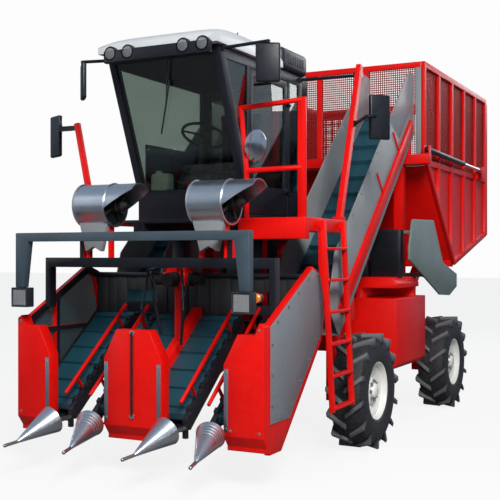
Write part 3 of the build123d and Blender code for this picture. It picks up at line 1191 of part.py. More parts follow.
# Fans: drums closed at the right end, a scoop cut on the slant at the left end, motor and nozzle
with BuildPart() as fan_housings:
    for side in (1, -1):
        left = side * ROW_X + FAN_LENGTH / 2
        right = side * ROW_X - FAN_LENGTH / 2
        with BuildSketch(Plane((right, FAN_Y, FAN_Z), x_dir=(0, 1, 0), z_dir=(1, 0, 0))) as drum:
            RegularPolygon(FAN_RADIUS, FAN_SIDES)
        extrude(drum.sketch, amount=FAN_LENGTH + SCOOP)
        for x in (right, left - FAN_FLANGE):
            rod((x, FAN_Y, FAN_Z), (x + FAN_FLANGE, FAN_Y, FAN_Z), FAN_RADIUS + 10, sides=FAN_SIDES)
        rod((right - 30, FAN_Y, FAN_Z), (right, FAN_Y, FAN_Z), FAN_RADIUS - 40, sides=FAN_SIDES)
        front_plate(
            [
                (side * ROW_X - 140, FAN_Z - FAN_RADIUS + 30),
                (side * ROW_X + 140, FAN_Z - FAN_RADIUS + 30),
                (side * ROW_X + 75, NOZZLE_LOW + 60),
                (side * ROW_X, NOZZLE_LOW + 100),
                (side * ROW_X - 75, NOZZLE_LOW + 60),
            ],
            (FAN_Y - 100, FAN_Y - 45),
        )
        inside = (left + SCOOP + 10, FAN_Y, FAN_Z)
        rod((right + SHEET, FAN_Y, FAN_Z), inside, FAN_RADIUS - 2 * SHEET, Mode.SUBTRACT, FAN_SIDES)
        front_plate(
            [
                (left + 0.5, FAN_Z - FAN_RADIUS - 20),
                (left + SCOOP + 20, FAN_Z - FAN_RADIUS - 20),
                (left + SCOOP + 20, FAN_Z + 130),
                (left + 0.5, FAN_Z - 30),
            ],
            (FAN_Y - FAN_RADIUS - 20, FAN_Y + FAN_RADIUS + 20),
            Mode.SUBTRACT,
        )
        rod((right, FAN_Y, FAN_Z), (left - 30, FAN_Y, FAN_Z), 60, sides=TUBE_SIDES)
        for turn in (0, 90):
            with Locations(Location((left - 40, FAN_Y, FAN_Z), (turn + 30, 0, 0))):
                Box(12, 2 * FAN_RADIUS - 3 * SHEET, 24)
save(fan_housings, "fan_housings")

# Grey lamp beam across the front, with a tapered leg hanging at each end
LEG_LOW = BEAM_Z - BEAM_LEG
with BuildPart() as lamp_beam:
    beam_y = (BEAM_Y - BEAM_SIZE, BEAM_Y + BEAM_SIZE)
    block((-BEAM_HALF, BEAM_HALF), beam_y, (BEAM_Z - BEAM_SIZE, BEAM_Z + BEAM_SIZE))
    for side in (1, -1):
        front_plate(
            [
                (side * BEAM_HALF, BEAM_Z + BEAM_SIZE),
                (side * (BEAM_HALF - 135), BEAM_Z + BEAM_SIZE),
                (side * (BEAM_HALF - 80), LEG_LOW),
                (side * BEAM_HALF, LEG_LOW),
            ],
            beam_y,
        )
save(lamp_beam, "lamp_beam")

with BuildPart() as headlamps:
    for side in (1, -1):
        lamp_x = span(side, BEAM_HALF - LAMP_BOX + 25, BEAM_HALF + 25)
        block(lamp_x, (BEAM_Y - 60, BEAM_Y + BEAM_SIZE), (LEG_LOW - LAMP_BOX, LEG_LOW))
        chamfered = headlamps.edges().filter_by(Axis.Y).group_by(SortBy.LENGTH)[-1]
    chamfer(chamfered, 18)
save(headlamps, "headlamps")

# Bin: hopper floor, two ribbed sides, front wall and the rear beam
BIN_REAR = REAR_Y - GATE_WALL - GATE_GAP
BIN_INNER = BIN_HALF - BIN_WALL
FLOOR_SLOPE = (BIN_REAR_LOW - BIN_LOW) / (REAR_Y - BIN_LOW_Y)


def bin_floor(y):
    """Height of the hopper's underside behind its lowest line."""
    return BIN_LOW + FLOOR_SLOPE * (y - BIN_LOW_Y)


BIN_OUTLINE = [
    (BIN_FRONT, BIN_TOP),
    (BIN_REAR, BIN_TOP),
    (BIN_REAR, bin_floor(BIN_REAR)),
    (BIN_LOW_Y, BIN_LOW),
    (BIN_FRONT + BIN_LIP, BIN_SILL),
    (BIN_FRONT, BIN_SILL),
]
SHEET_TOP = BIN_SILL + BIN_RAIL
BIN_SHEET_OUTLINE = BIN_OUTLINE[2:] + [(BIN_FRONT, SHEET_TOP), (BIN_REAR, SHEET_TOP)]
for name, side in [("left", 1), ("right", -1)]:
    with BuildPart() as bin_side:
        ribs = span(side, BIN_INNER + BIN_SHEET, BIN_HALF)
        with BuildSketch(Plane.YZ.offset(ribs[0])) as frame:
            with BuildLine():
                Polyline(*BIN_OUTLINE, close=True)
            make_face()
            offset(amount=-BIN_RAIL, kind=Kind.INTERSECTION, mode=Mode.SUBTRACT)
        extrude(frame.sketch, amount=ribs[1] - ribs[0])
        with BuildSketch(Plane.YZ.offset(ribs[0])) as bars:
            with BuildLine():
                Polyline(*BIN_OUTLINE, close=True)
            make_face()
            with BuildSketch(mode=Mode.INTERSECT):
                for k in range(BIN_RIBS):
                    y = BIN_FRONT + BIN_RAIL / 2 + k * (BIN_REAR - BIN_FRONT - BIN_RAIL) / (BIN_RIBS - 1)
                    with Locations((y, (BIN_TOP + BIN_LOW) / 2)):
                        Rectangle(BIN_RAIL, BIN_TOP - BIN_LOW)
                with Locations(((BIN_FRONT + BIN_REAR) / 2, SHEET_TOP - BIN_RAIL / 2)):
                    Rectangle(BIN_REAR - BIN_FRONT, BIN_RAIL)
        extrude(bars.sketch, amount=ribs[1] - ribs[0])
        sheet = span(side, BIN_INNER, BIN_INNER + BIN_SHEET)
        side_plate(BIN_SHEET_OUTLINE, sheet)
        block(sheet, (BIN_FRONT, BIN_REAR), (BIN_TOP - BIN_RAIL, BIN_TOP))
        # Bracket of the tipping ram: two ears and the plate behind that joins them
        ear_y = (RAM_REAR[0] - 45, RAM_REAR[0] + EYE_DRIFT + 20)
        ear_z = (BIN_SILL, RAM_REAR[1] + 45)
        block(span(side, BIN_HALF, RAM_X - EAR_IN), ear_y, ear_z)
        block(span(side, RAM_X + EAR_IN, RAM_X + EAR_OUT), ear_y, ear_z)
        block(span(side, BIN_HALF, RAM_X + EAR_OUT), (RAM_REAR[0] + EYE_DRIFT, ear_y[1]), ear_z)
    save(bin_side, f"bin_side_{name}")

with BuildPart() as bin_hopper:
    side_plate(
        [
            (BIN_FRONT + BIN_LIP, BIN_SILL),
            (BIN_LOW_Y, BIN_LOW),
            (BIN_REAR, bin_floor(BIN_REAR)),
            (BIN_REAR, bin_floor(BIN_REAR) + 12),
            (BIN_LOW_Y + 3, BIN_LOW + 15),
            (BIN_FRONT + BIN_LIP + 17, BIN_SILL),
        ],
        (-BIN_INNER, BIN_INNER),
    )
    side_plate(
        [
            (BIN_LOW_Y - 60, BIN_LOW - BIN_SHOE),
            (BIN_LOW_Y + 60, BIN_LOW - BIN_SHOE),
            (BIN_LOW_Y + 60, bin_floor(BIN_LOW_Y + 60) + 5),
            (BIN_LOW_Y, BIN_LOW + 5),
            (BIN_LOW_Y - 60, BIN_LOW + 60),
        ],
        (-BIN_INNER, BIN_INNER),
    )
    for at in (RAIL_X, -RAIL_X):
        side_plate(
            [
                (TIP_Y - TIP_EYE, TIP_Z),
                (TIP_Y + TIP_EYE, TIP_Z),
                (TIP_Y + TIP_EYE, bin_floor(TIP_Y + TIP_EYE) + 4),
                (TIP_Y - TIP_EYE, bin_floor(TIP_Y - TIP_EYE) + 4),
            ],
            (at - 30, at + 30),
        )
        rod((at - 30, TIP_Y, TIP_Z), (at + 30, TIP_Y, TIP_Z), TIP_EYE, sides=TUBE_SIDES)
        rod((at - 35, TIP_Y, TIP_Z), (at + 35, TIP_Y, TIP_Z), TIP_PIN + RUN_GAP, Mode.SUBTRACT, TUBE_SIDES)
save(bin_hopper, "bin_hopper")

with BuildPart() as bin_front:
    wall_y = (BIN_FRONT, BIN_FRONT + BIN_WALL)
    for z in (BIN_SILL, BIN_TOP - BIN_RAIL):
        block((-BIN_INNER, BIN_INNER), wall_y, (z, z + BIN_RAIL))
    for x in (-BIN_INNER, -LIFT_INNER + 20, -BIN_RAIL / 2, LIFT_INNER - 20 - BIN_RAIL, BIN_INNER - BIN_RAIL):
        block((x, x + BIN_RAIL), wall_y, (BIN_SILL, BIN_TOP))
    block((-BIN_INNER, BIN_INNER), (wall_y[1], BIN_FRONT + BIN_LIP), (BIN_SILL, BIN_SILL + BIN_SHEET))
save(bin_front, "bin_front")

# Beam over the tailgate, with the ears and pins of its hinge
GATE_Y = REAR_Y - GATE_WALL / 2
GATE_Z = BIN_TOP - GATE_DROP
GATE_EAR = 22.0
EAR_ROOM = 33.0
with BuildPart() as bin_rear_beam:
    block((-BIN_INNER, BIN_INNER), (BIN_REAR - BIN_RAIL, BIN_REAR), (BIN_TOP - BIN_RAIL, BIN_TOP))
    for x in (-GATE_HINGE_X, GATE_HINGE_X):
        for low_x in (x - EAR_ROOM - 12, x + EAR_ROOM):
            ear_z = (GATE_Z - GATE_EAR, GATE_Z + GATE_EAR)
            block((low_x, low_x + 12), (BIN_REAR, GATE_Y), ear_z)
            rod((low_x, GATE_Y, GATE_Z), (low_x + 12, GATE_Y, GATE_Z), GATE_EAR, sides=TUBE_SIDES)
        pin((x - EAR_ROOM - 7, GATE_Y, GATE_Z), (x + EAR_ROOM + 7, GATE_Y, GATE_Z), GATE_PIN)
save(bin_rear_beam, "bin_rear_beam")

with BuildPart() as tailgate:
    gate_y = (REAR_Y - GATE_WALL, REAR_Y)
    gate_in = (-BIN_HALF + BIN_RAIL, BIN_HALF - BIN_RAIL)
    block((-BIN_HALF, BIN_HALF), gate_y, (BIN_REAR_LOW, GATE_Z - 30))
    block(gate_in, (gate_y[0] - 10, gate_y[1] + 10), (SHEET_TOP, GATE_Z - 30 - BIN_RAIL), Mode.SUBTRACT)
    block(gate_in, (gate_y[0] + 10, gate_y[1] + 10), (BIN_REAR_LOW + BIN_RAIL, BIN_SILL), Mode.SUBTRACT)
    for k in range(GATE_BARS):
        x = gate_in[0] + (k + 1) * (gate_in[1] - gate_in[0]) / (GATE_BARS + 1)
        block((x - 30, x + 30), gate_y, (BIN_REAR_LOW + BIN_RAIL, BIN_SILL))
        block((x - 30, x + 30), gate_y, (SHEET_TOP, GATE_Z - 30 - BIN_RAIL))
    for x in (-GATE_HINGE_X, GATE_HINGE_X):
        block((x - 30, x + 30), gate_y, (GATE_Z - 30, GATE_Z))
        rod((x - 30, GATE_Y, GATE_Z), (x + 30, GATE_Y, GATE_Z), GATE_WALL / 2, sides=TUBE_SIDES)
        rod((x - 40, GATE_Y, GATE_Z), (x + 40, GATE_Y, GATE_Z), GATE_PIN + RUN_GAP, Mode.SUBTRACT, TUBE_SIDES)
save(tailgate, "tailgate")


def barrels(x, fixed, moved, reach, radius, rod_radius):
    """Barrels of a pair of rams, from the fixed eyes towards the moved ones."""
    along = Vector(0, moved[0] - fixed[0], moved[1] - fixed[1]).normalized()
    for at in (x, -x):
        foot = Vector(at, *fixed)
        rod((at - EYE_HALF, *fixed), (at + EYE_HALF, *fixed), radius, sides=TUBE_SIDES)
        rod(foot, foot + along * (radius + 50), EYE_HALF)
        rod(foot + along * (radius + 45), foot + along * reach, radius, sides=TUBE_SIDES)
        rod(foot + along * 150, foot + along * (reach + 10), rod_radius + RUN_GAP, Mode.SUBTRACT, TUBE_SIDES)
        rod((at - 40, *fixed), (at + 40, *fixed), RAM_PIN + RUN_GAP, Mode.SUBTRACT, TUBE_SIDES)


def rods(x, fixed, moved, radius, rod_radius):
    """Rods of a pair of rams with their eyes, from inside the barrels to the moved ends."""
    along = Vector(0, moved[0] - fixed[0], moved[1] - fixed[1]).normalized()
    for at in (x, -x):
        rod((at - EYE_HALF, *moved), (at + EYE_HALF, *moved), radius, sides=TUBE_SIDES)
        rod(Vector(at, *fixed) + along * 200, Vector(at, *moved), rod_radius, sides=TUBE_SIDES)


with BuildPart() as tip_barrels:
    barrels(RAM_X, RAM_FRONT, RAM_REAR, RAM_BARREL, RAM_RADIUS, RAM_ROD)
save(tip_barrels, "tip_barrels")
with BuildPart() as tip_rods:
    rods(RAM_X, RAM_FRONT, RAM_REAR, RAM_RADIUS, RAM_ROD)
save(tip_rods, "tip_rods")
with BuildPart() as lift_barrels:
    barrels(LIFT_RAM_X, LIFT_RAM_REAR, LIFT_RAM_FRONT, LIFT_RAM_BARREL, LIFT_RAM_RADIUS, LIFT_RAM_ROD)
save(lift_barrels, "lift_barrels")
with BuildPart() as lift_rods:
    rods(LIFT_RAM_X, LIFT_RAM_REAR, LIFT_RAM_FRONT, LIFT_RAM_RADIUS, LIFT_RAM_ROD)
save(lift_rods, "lift_rods")
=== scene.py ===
import json
from math import cos, pi, radians, sin, sqrt

import bmesh
import bpy
from mathutils import Matrix, Vector


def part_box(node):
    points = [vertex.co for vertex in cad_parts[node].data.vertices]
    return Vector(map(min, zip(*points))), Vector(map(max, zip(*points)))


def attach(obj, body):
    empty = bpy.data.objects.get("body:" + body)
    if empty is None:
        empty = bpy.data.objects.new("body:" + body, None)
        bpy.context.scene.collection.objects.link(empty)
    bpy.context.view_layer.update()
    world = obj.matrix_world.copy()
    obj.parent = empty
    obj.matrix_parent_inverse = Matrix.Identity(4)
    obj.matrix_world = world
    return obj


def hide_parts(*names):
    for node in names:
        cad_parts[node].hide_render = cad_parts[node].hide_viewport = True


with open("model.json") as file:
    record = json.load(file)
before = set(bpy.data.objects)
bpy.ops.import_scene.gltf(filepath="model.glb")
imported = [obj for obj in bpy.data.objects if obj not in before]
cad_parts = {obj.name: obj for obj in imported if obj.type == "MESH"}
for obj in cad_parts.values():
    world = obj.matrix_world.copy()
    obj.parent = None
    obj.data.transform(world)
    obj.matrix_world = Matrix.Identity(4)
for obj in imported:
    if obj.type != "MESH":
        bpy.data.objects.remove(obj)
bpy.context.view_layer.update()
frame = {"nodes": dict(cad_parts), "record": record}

# Two-row tobacco harvester, in metres. +Z is up, it drives towards -Y and its left side is +X.
NODES = frame["nodes"]
SLOT_OF = {part["node"]: part["material_slot"] for part in frame["record"]["subparts"]}
BODIES = frame["record"]["behaviour"]["bodies"]
BODY_OF = {node: body for body, carried in BODIES.items() for node in carried}

FRONT_AXLE_Y, REAR_AXLE_Y = -1.0, 1.6
WHEEL_X = 1.135
LUGS_A_SIDE = 14
BROW_Y, SILL_Y, SILL_Z = -2.62, -2.15, 2.25
ROOF_Y = (-2.70, -1.50)
ROOF_HALF, ROOF_FOOT, ROOF_EAVE, ROOF_CROWN = 0.565, 3.401, 3.455, 0.125
LAMP_X, LAMP_Z = (-0.41, -0.24, 0.28, 0.455), 3.385
ROW_X = 0.54
PANEL_Y = -3.03
FAN_Y, FAN_Z = -2.70, 2.15
LIFT_FOOT, LIFT_HEAD = Vector((0, -1.65, 1.192)), Vector((0, 0.52, 3.19))
LIFT_OUTER = 1.105
GEARBOX = Vector((0, -2.33, 1.54))
INDICATOR = Vector((1.05, -2.955, 1.43))
HEADLAMP_X, HEADLAMP_Z = 1.01, 1.40
CONE_RADIUS, POINT_RADIUS = 0.112, 0.014
KEEL_HALF, RING_INNER, RING_TOP = 0.08, 1.095, 1.80
NET_PITCH, NET_WIRE = 0.024, 0.008
SHEET_SCREW_GAP = 0.21
LUG_TOP = 0.504
SEAM_X, SEAM_HALF, SEAM_DEEP = 0.085, 0.014, 0.007


# Finishes


def srgb(code):
    """Linear colour of an sRGB hex value."""
    shares = [int(code[k:k + 2], 16) / 255 for k in (0, 2, 4)]
    return [c / 12.92 if c <= 0.04045 else ((c + 0.055) / 1.055) ** 2.4 for c in shares] + [1.0]


def wire(tree, node, sockets):
    """Sets a node's sockets to values, or links them from an output or from a node's first live output."""
    for socket, value in sockets.items():
        if isinstance(value, bpy.types.Node):
            value = next(out for out in value.outputs if out.enabled)
        if isinstance(value, bpy.types.NodeSocket):
            tree.links.new(value, node.inputs[socket])
        else:
            node.inputs[socket].default_value = value
    return node


def add(tree, kind, sockets=None, **settings):
    """Adds a node with its settings and links."""
    node = tree.nodes.new("ShaderNode" + kind)
    for name, value in settings.items():
        setattr(node, name, value)
    return wire(tree, node, sockets or {})


def surface(name):
    """A new material, its nodes, its shader and the place on the object."""
    finish = bpy.data.materials.new(name)
    finish.use_nodes = True
    tree = finish.node_tree
    place = add(tree, "TexCoord").outputs["Object"]
    return finish, tree, tree.nodes["Principled BSDF"], place


def enamel(name, fresh, faded, rough, gloss, dust):
    """Sprayed enamel: a soft gloss over colour that varies a little from panel to panel, with fine
    orange peel, and road dust that thickens towards the ground."""
    finish, tree, shader, place = surface(name)
    patches = add(tree, "TexNoise", {"Vector": place, "Scale": 1 / 0.35, "Detail": 3.0})
    cloud = add(tree, "MapRange", {"Value": patches, "From Min": 0.35, "From Max": 0.65})
    paint = add(tree, "Mix", {0: cloud, 6: srgb(fresh), 7: srgb(faded)}, data_type="RGBA")
    height = add(tree, "SeparateXYZ", {"Vector": place})
    span = {"From Min": 0.3, "From Max": 1.5, "To Min": dust, "To Max": dust * 0.12}
    near = add(tree, "MapRange", {"Value": height.outputs["Z"], **span})
    specks = add(tree, "TexNoise", {"Vector": place, "Scale": 1 / 0.045, "Detail": 6.0, "Roughness": 0.65})
    settled = add(tree, "MapRange", {"Value": specks, "From Min": 0.4, "From Max": 0.7})
    film = add(tree, "Math", {0: near, 1: settled}, operation="MULTIPLY")
    dusty = add(tree, "Mix", {0: film, 6: paint, 7: srgb("9A8C7C")}, data_type="RGBA")
    dull = add(
        tree,
        "MapRange",
        {"Value": specks, "From Min": 0.3, "From Max": 0.75, "To Min": rough, "To Max": rough + 0.14},
    )
    # Orange peel is about 2 mm across; it is drawn at 7 mm so that it shows in the gloss
    peel = add(tree, "TexNoise", {"Vector": place, "Scale": 1 / 0.007, "Detail": 1.0})
    relief = add(tree, "Bump", {"Height": peel, "Strength": 0.05, "Distance": 0.001})
    wire(
        tree,
        shader,
        {
            "Base Color": dusty,
            "Roughness": dull,
            "Normal": relief,
            "Specular IOR Level": gloss,
        },
    )
    return finish


red_enamel = enamel("red_enamel", "F00E05", "E20B05", 0.34, 0.22, 0.03)
dark_red_wire = enamel("dark_red_wire", "A8120E", "90100D", 0.45, 0.2, 0.05)
grey_enamel = enamel("blue_grey_enamel", "475660", "3F4C55", 0.38, 0.3, 0.06)
pale_grey_enamel = enamel("pale_grey_enamel", "8F9394", "848889", 0.42, 0.4, 0.12)
green_grey_enamel = enamel("green_grey_enamel", "7C8986", "717E7B", 0.42, 0.4, 0.12)
black_enamel = enamel("black_enamel", "11131A", "171A22", 0.36, 0.35, 0.06)
white_enamel = enamel("white_enamel", "F6F4EE", "EEEBE4", 0.40, 0.4, 0.06)

# Gelcoat of the roof: glossy, faintly yellowed white with broad dull patches from weather
white_gelcoat, tree, shader, place = surface("white_gelcoat")
patches = add(tree, "TexNoise", {"Vector": place, "Scale": 1 / 0.22, "Detail": 4.0})
tone = add(tree, "Mix", {0: patches, 6: srgb("D9DBDB"), 7: srgb("CBCDCB")}, data_type="RGBA")
dull = add(tree, "MapRange", {"Value": patches, "To Min": 0.2, "To Max": 0.5})
ripple = add(tree, "TexNoise", {"Vector": place, "Scale": 1 / 0.05})
relief = add(tree, "Bump", {"Height": ripple, "Strength": 0.06, "Distance": 0.002})
wire(tree, shader, {"Base Color": tone, "Roughness": dull, "Normal": relief})


def metal(name, light, dark, rough, stretch, grain):
    """Bare metal: fine lines from rolling or drawing stretch its highlights, and handling dulls it
    in patches."""
    finish, tree, shader, place = surface(name)
    lined = add(tree, "Mapping", {"Vector": place, "Scale": stretch})
    lines = add(tree, "TexNoise", {"Vector": lined, "Scale": 1 / grain, "Detail": 4.0})
    patches = add(tree, "TexNoise", {"Vector": place, "Scale": 1 / 0.12, "Detail": 4.0})
    tone = add(tree, "Mix", {0: patches, 6: srgb(light), 7: srgb(dark)}, data_type="RGBA")
    streak = add(
        tree,
        "MapRange",
        {"Value": lines, "From Min": 0.3, "From Max": 0.7, "To Min": rough, "To Max": rough + 0.16},
    )
    relief = add(tree, "Bump", {"Height": lines, "Strength": 0.12, "Distance": 0.0006})
    wire(tree, shader, {"Base Color": tone, "Metallic": 1.0, "Roughness": streak, "Normal": relief})
    return finish


# Brushing lines are a fraction of a millimetre wide; they are drawn at 4 mm so that they show
brushed_stainless = metal("brushed_stainless", "C9CDD0", "B8BDC1", 0.27, (0.06, 1, 1), 0.004)
drawn_aluminium = metal("drawn_aluminium", "A3A7AD", "92969C", 0.36, (1, 1, 0.04), 0.004)
chromed_steel = metal("chromed_steel", "D4D6D8", "C6C8CA", 0.10, (1, 0.05, 0.05), 0.004)
zinc_plate = metal("zinc_plate", "B9BCB8", "A5A79F", 0.34, (1, 1, 1), 0.004)
lamp_reflector = metal("lamp_reflector", "F4F6F8", "ECEFF2", 0.22, (1, 1, 1), 0.02)

# Cast iron: coarse sand-cast skin, nearly black with oil, browner where dust has stuck
cast_iron, tree, shader, place = surface("cast_iron")
skin = add(tree, "TexNoise", {"Vector": place, "Scale": 1 / 0.006, "Detail": 3.0})
oil = add(tree, "TexNoise", {"Vector": place, "Scale": 1 / 0.15, "Detail": 4.0})
tone = add(tree, "Mix", {0: oil, 6: srgb("1B1B1D"), 7: srgb("37322D")}, data_type="RGBA")
dull = add(tree, "MapRange", {"Value": oil, "To Min": 0.35, "To Max": 0.8})
relief = add(tree, "Bump", {"Height": skin, "Strength": 0.3, "Distance": 0.002})
wire(tree, shader, {"Base Color": tone, "Metallic": 0.4, "Roughness": dull, "Normal": relief})

# Teal conveyor belting: matt polymer with a fabric print of about 3 mm, drawn at 6 mm so that it shows
teal_belting, tree, shader, place = surface("teal_belting")
print_across = add(
    tree, "TexWave", {"Vector": place, "Scale": 1 / 0.006 / 2 / pi, "Distortion": 0.3}, bands_direction="X"
)
worn = add(tree, "TexNoise", {"Vector": place, "Scale": 1 / 0.12, "Detail": 5.0})
tone = add(tree, "Mix", {0: worn, 6: srgb("20525F"), 7: srgb("163D48")}, data_type="RGBA")
dull = add(tree, "MapRange", {"Value": worn, "To Min": 0.3, "To Max": 0.62})
relief = add(tree, "Bump", {"Height": print_across.outputs["Fac"], "Strength": 0.15, "Distance": 0.001})
wire(tree, shader, {"Base Color": tone, "Roughness": dull, "Normal": relief})

# Tyre rubber: carbon black with a moulded satin skin, greyed by soil on the lugs' worn tops
tyre_rubber, tree, shader, place = surface("tyre_rubber")
wear = add(tree, "Attribute", attribute_name="lug_wear")
soil = add(tree, "TexNoise", {"Vector": place, "Scale": 1 / 0.03, "Detail": 6.0, "Roughness": 0.7})
earth = add(tree, "MapRange", {"Value": soil, "From Min": 0.35, "From Max": 0.7, "To Max": 0.16})
topped = add(tree, "Math", {0: wear.outputs["Fac"], 1: 0.7, 2: earth}, operation="MULTIPLY_ADD")
tone = add(tree, "Mix", {0: topped, 6: srgb("121214"), 7: srgb("77777A")}, data_type="RGBA")
skin = add(tree, "TexNoise", {"Vector": place, "Scale": 1 / 0.008, "Detail": 2.0})
relief = add(tree, "Bump", {"Height": skin, "Strength": 0.15, "Distance": 0.001})
wire(tree, shader, {"Base Color": tone, "Roughness": 0.68, "Normal": relief})

# Black rubber of mats, boots and wiper: matt with a fine grain
black_rubber, tree, shader, place = surface("black_rubber")
grain = add(tree, "TexNoise", {"Vector": place, "Scale": 1 / 0.006, "Detail": 2.0})
tone = add(tree, "Mix", {0: grain, 6: srgb("131314"), 7: srgb("262626")}, data_type="RGBA")
relief = add(tree, "Bump", {"Height": grain, "Strength": 0.2, "Distance": 0.001})
wire(tree, shader, {"Base Color": tone, "Roughness": 0.6, "Normal": relief})

# Grained ABS of the cab's inside and of the mirror shells: a leather-like pebble of about 2 mm, drawn at 5 mm
grained_plastic, tree, shader, place = surface("grained_plastic")
pebble = add(tree, "TexVoronoi", {"Vector": place, "Scale": 1 / 0.005})
faded = add(tree, "TexNoise", {"Vector": place, "Scale": 1 / 0.1, "Detail": 3.0})
tone = add(tree, "Mix", {0: faded, 6: srgb("1B1E22"), 7: srgb("2A2E33")}, data_type="RGBA")
relief = add(tree, "Bump", {"Height": pebble, "Strength": 0.12, "Distance": 0.001})
wire(tree, shader, {"Base Color": tone, "Roughness": 0.45, "Normal": relief})

# Smoked polycarbonate sheet: half clear, with a scuffed haze that catches the light
smoked_polycarbonate, tree, shader, place = surface("smoked_polycarbonate")
scuff = add(tree, "TexNoise", {"Vector": place, "Scale": 1 / 0.02, "Detail": 3.0})
tone = add(tree, "Mix", {0: scuff, 6: srgb("969A9F"), 7: srgb("9EA2A6")}, data_type="RGBA")
haze = add(
    tree, "MapRange", {"Value": scuff, "From Min": 0.3, "From Max": 0.7, "To Min": 0.64, "To Max": 0.70},
)
dull = add(tree, "MapRange", {"Value": scuff, "To Min": 0.25, "To Max": 0.4})
wire(tree, shader, {"Base Color": tone, "Roughness": dull, "Alpha": haze, "IOR": 1.58})

# Painted shade on the inside of the side sheets: a near-black teal film, softly glossy, in streaks of varying
# tone, standing in for the shade within the header
painted_shade_film, tree, shader, place = surface("painted_shade_film")
streaks = add(tree, "Mapping", {"Vector": place, "Scale": (1, 1, 0.15)})
streak_noise = add(tree, "TexNoise", {"Vector": streaks, "Scale": 1 / 0.05, "Detail": 5.0})
tone = add(tree, "Mix", {0: streak_noise, 6: srgb("0F2226"), 7: srgb("22424A")}, data_type="RGBA")
dull = add(tree, "MapRange", {"Value": streak_noise, "To Min": 0.2, "To Max": 0.5})
wire(tree, shader, {"Base Color": tone, "Roughness": dull, "Alpha": 0.94})

# Tinted safety glass: clear grey-green, with a film of dust that thickens in patches
tinted_glass, tree, shader, place = surface("tinted_glass")
film = add(tree, "TexNoise", {"Vector": place, "Scale": 1 / 0.3, "Detail": 6.0})
tint = add(tree, "Mix", {0: film, 6: srgb("A9B5AE"), 7: srgb("9DA9A2")}, data_type="RGBA")
dull = add(tree, "MapRange", {"Value": film, "From Min": 0.45, "From Max": 0.75, "To Max": 0.06})
wire(tree, shader, {"Base Color": tint, "Roughness": dull, "Transmission Weight": 1.0, "IOR": 1.52})

# Lamp lens: clear pressed glass with flutes that break up the reflector behind it
lamp_lens, tree, shader, place = surface("lamp_lens")
flutes = add(tree, "TexWave", {"Vector": place, "Scale": 1 / 0.016 / 2 / pi}, bands_direction="X")
relief = add(tree, "Bump", {"Height": flutes.outputs["Fac"], "Strength": 0.35, "Distance": 0.003})
wire(
    tree,
    shader,
    {
        "Base Color": srgb("F4F6F6"),
        "Roughness": 0.04,
        "Alpha": 0.14,
        "IOR": 1.5,
        "Normal": relief,
    },
)

# Amber lens of the indicator: moulded acrylic with pyramids of about 4 mm
amber_lens, tree, shader, place = surface("amber_lens")
prisms = add(tree, "TexVoronoi", {"Vector": place, "Scale": 1 / 0.008}, distance="CHEBYCHEV")
relief = add(tree, "Bump", {"Height": prisms, "Strength": 0.3, "Distance": 0.002})
deep = add(tree, "Mix", {0: prisms, 6: srgb("FF8A12"), 7: srgb("E06A08")}, data_type="RGBA")
wire(tree, shader, {"Base Color": deep, "Roughness": 0.15, "Coat Weight": 0.4, "Normal": relief})

# Silvered glass of the mirrors: near-perfect reflection with a light breath of dust
silvered_glass, tree, shader, place = surface("silvered_glass")
breath = add(tree, "TexNoise", {"Vector": place, "Scale": 1 / 0.06, "Detail": 4.0})
tone = add(tree, "Mix", {0: breath, 6: srgb("E4E8EA"), 7: srgb("D2D7DA")}, data_type="RGBA")
dull = add(tree, "MapRange", {"Value": breath, "To Min": 0.01, "To Max": 0.06})
wire(tree, shader, {"Base Color": tone, "Metallic": 1.0, "Roughness": dull})

# Seat cloth: black woven polyester; threads of about 1 mm, drawn at 3 mm so that the weave shows
seat_cloth, tree, shader, place = surface("seat_cloth")
warp = add(tree, "TexWave", {"Vector": place, "Scale": 1 / 0.003 / 2 / pi}, bands_direction="X")
weft = add(tree, "TexWave", {"Vector": place, "Scale": 1 / 0.003 / 2 / pi}, bands_direction="Y")
weave = add(tree, "Math", {0: warp.outputs["Fac"], 1: weft.outputs["Fac"]}, operation="MULTIPLY")
tone = add(tree, "Mix", {0: weave, 6: srgb("141417"), 7: srgb("33353A")}, data_type="RGBA")
relief = add(tree, "Bump", {"Height": weave, "Strength": 0.4, "Distance": 0.001})
wire(tree, shader, {"Base Color": tone, "Roughness": 0.9, "Sheen Weight": 0.3, "Normal": relief})

# Natural polyethylene of the washer bottle: milky, half see-through, softly glossy
milky_polyethylene, tree, shader, place = surface("milky_polyethylene")
cloud = add(tree, "TexNoise", {"Vector": place, "Scale": 1 / 0.08, "Detail": 2.0})
tone = add(tree, "Mix", {0: cloud, 6: srgb("EEF2EC"), 7: srgb("DCE3DA")}, data_type="RGBA")
dull = add(tree, "MapRange", {"Value": cloud, "To Min": 0.35, "To Max": 0.5})
wire(tree, shader, {"Base Color": tone, "Roughness": dull, "Subsurface Weight": 0.2})

FINISH_OF = {
    "red_paint": red_enamel,
    "grey_paint": grey_enamel,
    "black_paint": black_enamel,
    "white_paint": white_enamel,
    "white_plastic": white_gelcoat,
    "stainless": brushed_stainless,
    "aluminium_strip": drawn_aluminium,
    "bright_steel": chromed_steel,
    "engine_iron": cast_iron,
    "belt_rubber": teal_belting,
    "tyre_rubber": tyre_rubber,
    "polycarbonate": smoked_polycarbonate,
    "tinted_glass": tinted_glass,
    "lamp_glass": lamp_lens,
    "mirror_glass": silvered_glass,
    "seat_fabric": seat_cloth,
    "interior_plastic": grained_plastic,
}
for node_name, solid in NODES.items():
    finish = FINISH_OF[SLOT_OF[node_name]]
    if node_name in ("elevator_casings", "bin_front"):
        finish = pale_grey_enamel
    if node_name == "belt_guard":
        finish = green_grey_enamel
    if node_name == "tip_barrels":
        finish = black_enamel
    for held in solid.material_slots:
        held.material = finish


# Ways of making a piece


